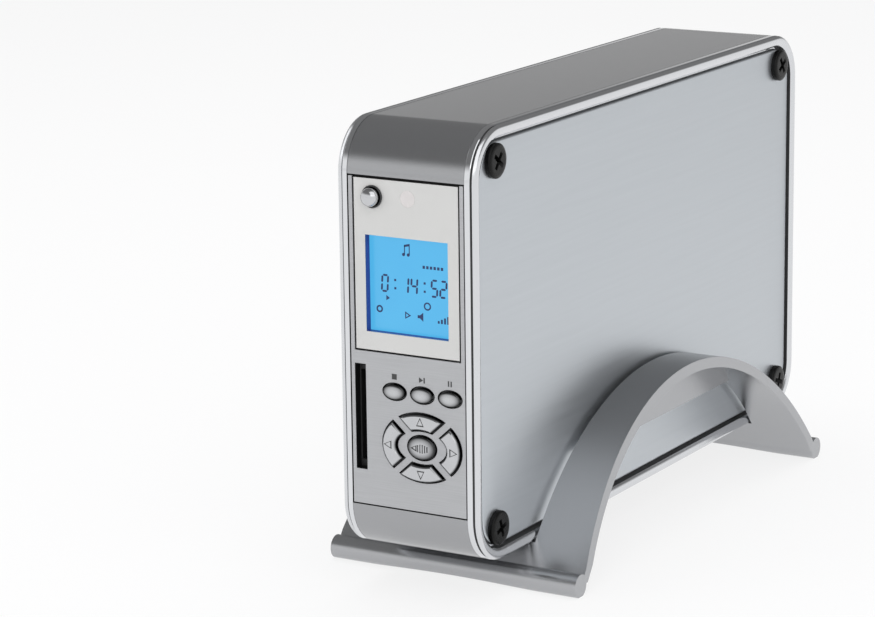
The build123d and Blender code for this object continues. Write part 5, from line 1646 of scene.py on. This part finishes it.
# ---------------------------------------------------------------- floor, lamps, camera
# A pale floor under soft studio light. The camera stands where the photograph was taken.
clear_choice()
bpy.ops.mesh.primitive_plane_add(size=12, location=(0, 0, 0))
floor = bpy.context.object
floor.name = "floor"
floor_pale = Finish("pale_floor", Roughness=0.9, Base_Color=(0.8, 0.8, 0.81, 1))
white = {"Color": (1, 1, 1, 1), "Strength": 1.0}
floor_glow = floor_pale.add("ShaderNodeEmission", {}, white)["Emission"]
rays = floor_pale.add("ShaderNodeLightPath", {}, {})
seen = rays["Is Camera Ray"] + rays["Is Glossy Ray"] + rays["Is Transmission Ray"]
mixer = floor_pale.add(
    "ShaderNodeMixShader",
    {},
    {0: seen * 0.8, 1: Wire(floor_pale, floor_pale.shader.outputs[0]), 2: floor_glow},
)
output = floor_pale.tree.nodes["Material Output"]
floor_pale.tree.links.new(mixer["Shader"].socket, output.inputs["Surface"])
paint(floor, floor_pale)


def lamp(name, place, target, width, height, power, mirrored=True):
    """A soft rectangular lamp that points at the target; metal may or may not show it."""
    light = bpy.data.lights.new(name, "AREA")
    light.shape = "RECTANGLE"
    light.size = width
    light.size_y = height
    light.energy = power
    holder = bpy.data.objects.new(name, light)
    holder.location = place
    aim = Vector(target) - Vector(place)
    holder.rotation_euler = aim.to_track_quat("-Z", "Y").to_euler()
    holder.visible_glossy = mirrored
    bpy.context.scene.collection.objects.link(holder)


middle = (0, 0, 0.07)
lamp("key_lamp", (0.75, -0.65, 0.95), middle, 1.7, 1.3, 7.5)
lamp("fill_lamp", (-0.9, -0.9, 0.55), middle, 0.7, 0.9, 4.0, False)
lamp("top_lamp", (-0.1, 0.25, 1.25), middle, 1.1, 0.9, 7.0, False)


class Studio(Finish):
    """The room round the object, with the same way of adding nodes."""

    def __init__(self, name):
        world = bpy.data.worlds.new(name)
        world.use_nodes = True
        bpy.context.scene.world = world
        self.tree = world.node_tree
        self.shader = self.tree.nodes["Background"]


studio = Studio("studio")
ray = studio.add("ShaderNodeLightPath", {}, {})
direction = studio.add("ShaderNodeTexCoord", {}, {})["Generated"]
heading = studio.add("ShaderNodeSeparateXYZ", {}, {"Vector": direction})
dimming = studio.add(
    "ShaderNodeMapRange",
    {"interpolation_type": "SMOOTHSTEP"},
    {
        "Value": heading["Z"] + heading["Y"] * 0.15,
        "From Min": 0.08, "From Max": 0.4, "To Min": 1.0, "To Max": 0.21,
    },
)["Result"]
plain = ray["Is Camera Ray"] + ray["Is Transmission Ray"]
mirrored = ray["Is Glossy Ray"] * dimming + (1 - ray["Is Glossy Ray"]) * 0.6
studio.feed("Strength", plain + (1 - plain) * mirrored)
studio.feed("Color", (1, 1, 1, 1))

camera_height = 272.97 * mm
camera_x = 424.76 * mm
camera_y = casing_y - 801.57 * mm
camera_turn = math.radians(30.605)
camera_tilt = math.radians(13.241)
camera_roll = math.radians(-0.744)
lens = bpy.data.cameras.new("camera")
lens.sensor_width = 36
lens.lens = 133.0
lens.clip_start = 0.01
camera = bpy.data.objects.new("camera", lens)
camera.location = (camera_x, camera_y, camera_height)
forward = Vector(
    (
        -math.sin(camera_turn) * math.cos(camera_tilt),
        math.cos(camera_turn) * math.cos(camera_tilt),
        -math.sin(camera_tilt),
    )
)
across = Vector((math.cos(camera_turn), math.sin(camera_turn), 0))
above = across.cross(forward)
right = math.cos(camera_roll) * across + math.sin(camera_roll) * above
upward = -math.sin(camera_roll) * across + math.cos(camera_roll) * above
camera.rotation_euler = Matrix((right, upward, -forward)).transposed().to_euler()
bpy.context.scene.collection.objects.link(camera)
bpy.context.scene.camera = camera
bpy.context.scene.view_settings.view_transform = "Standard"
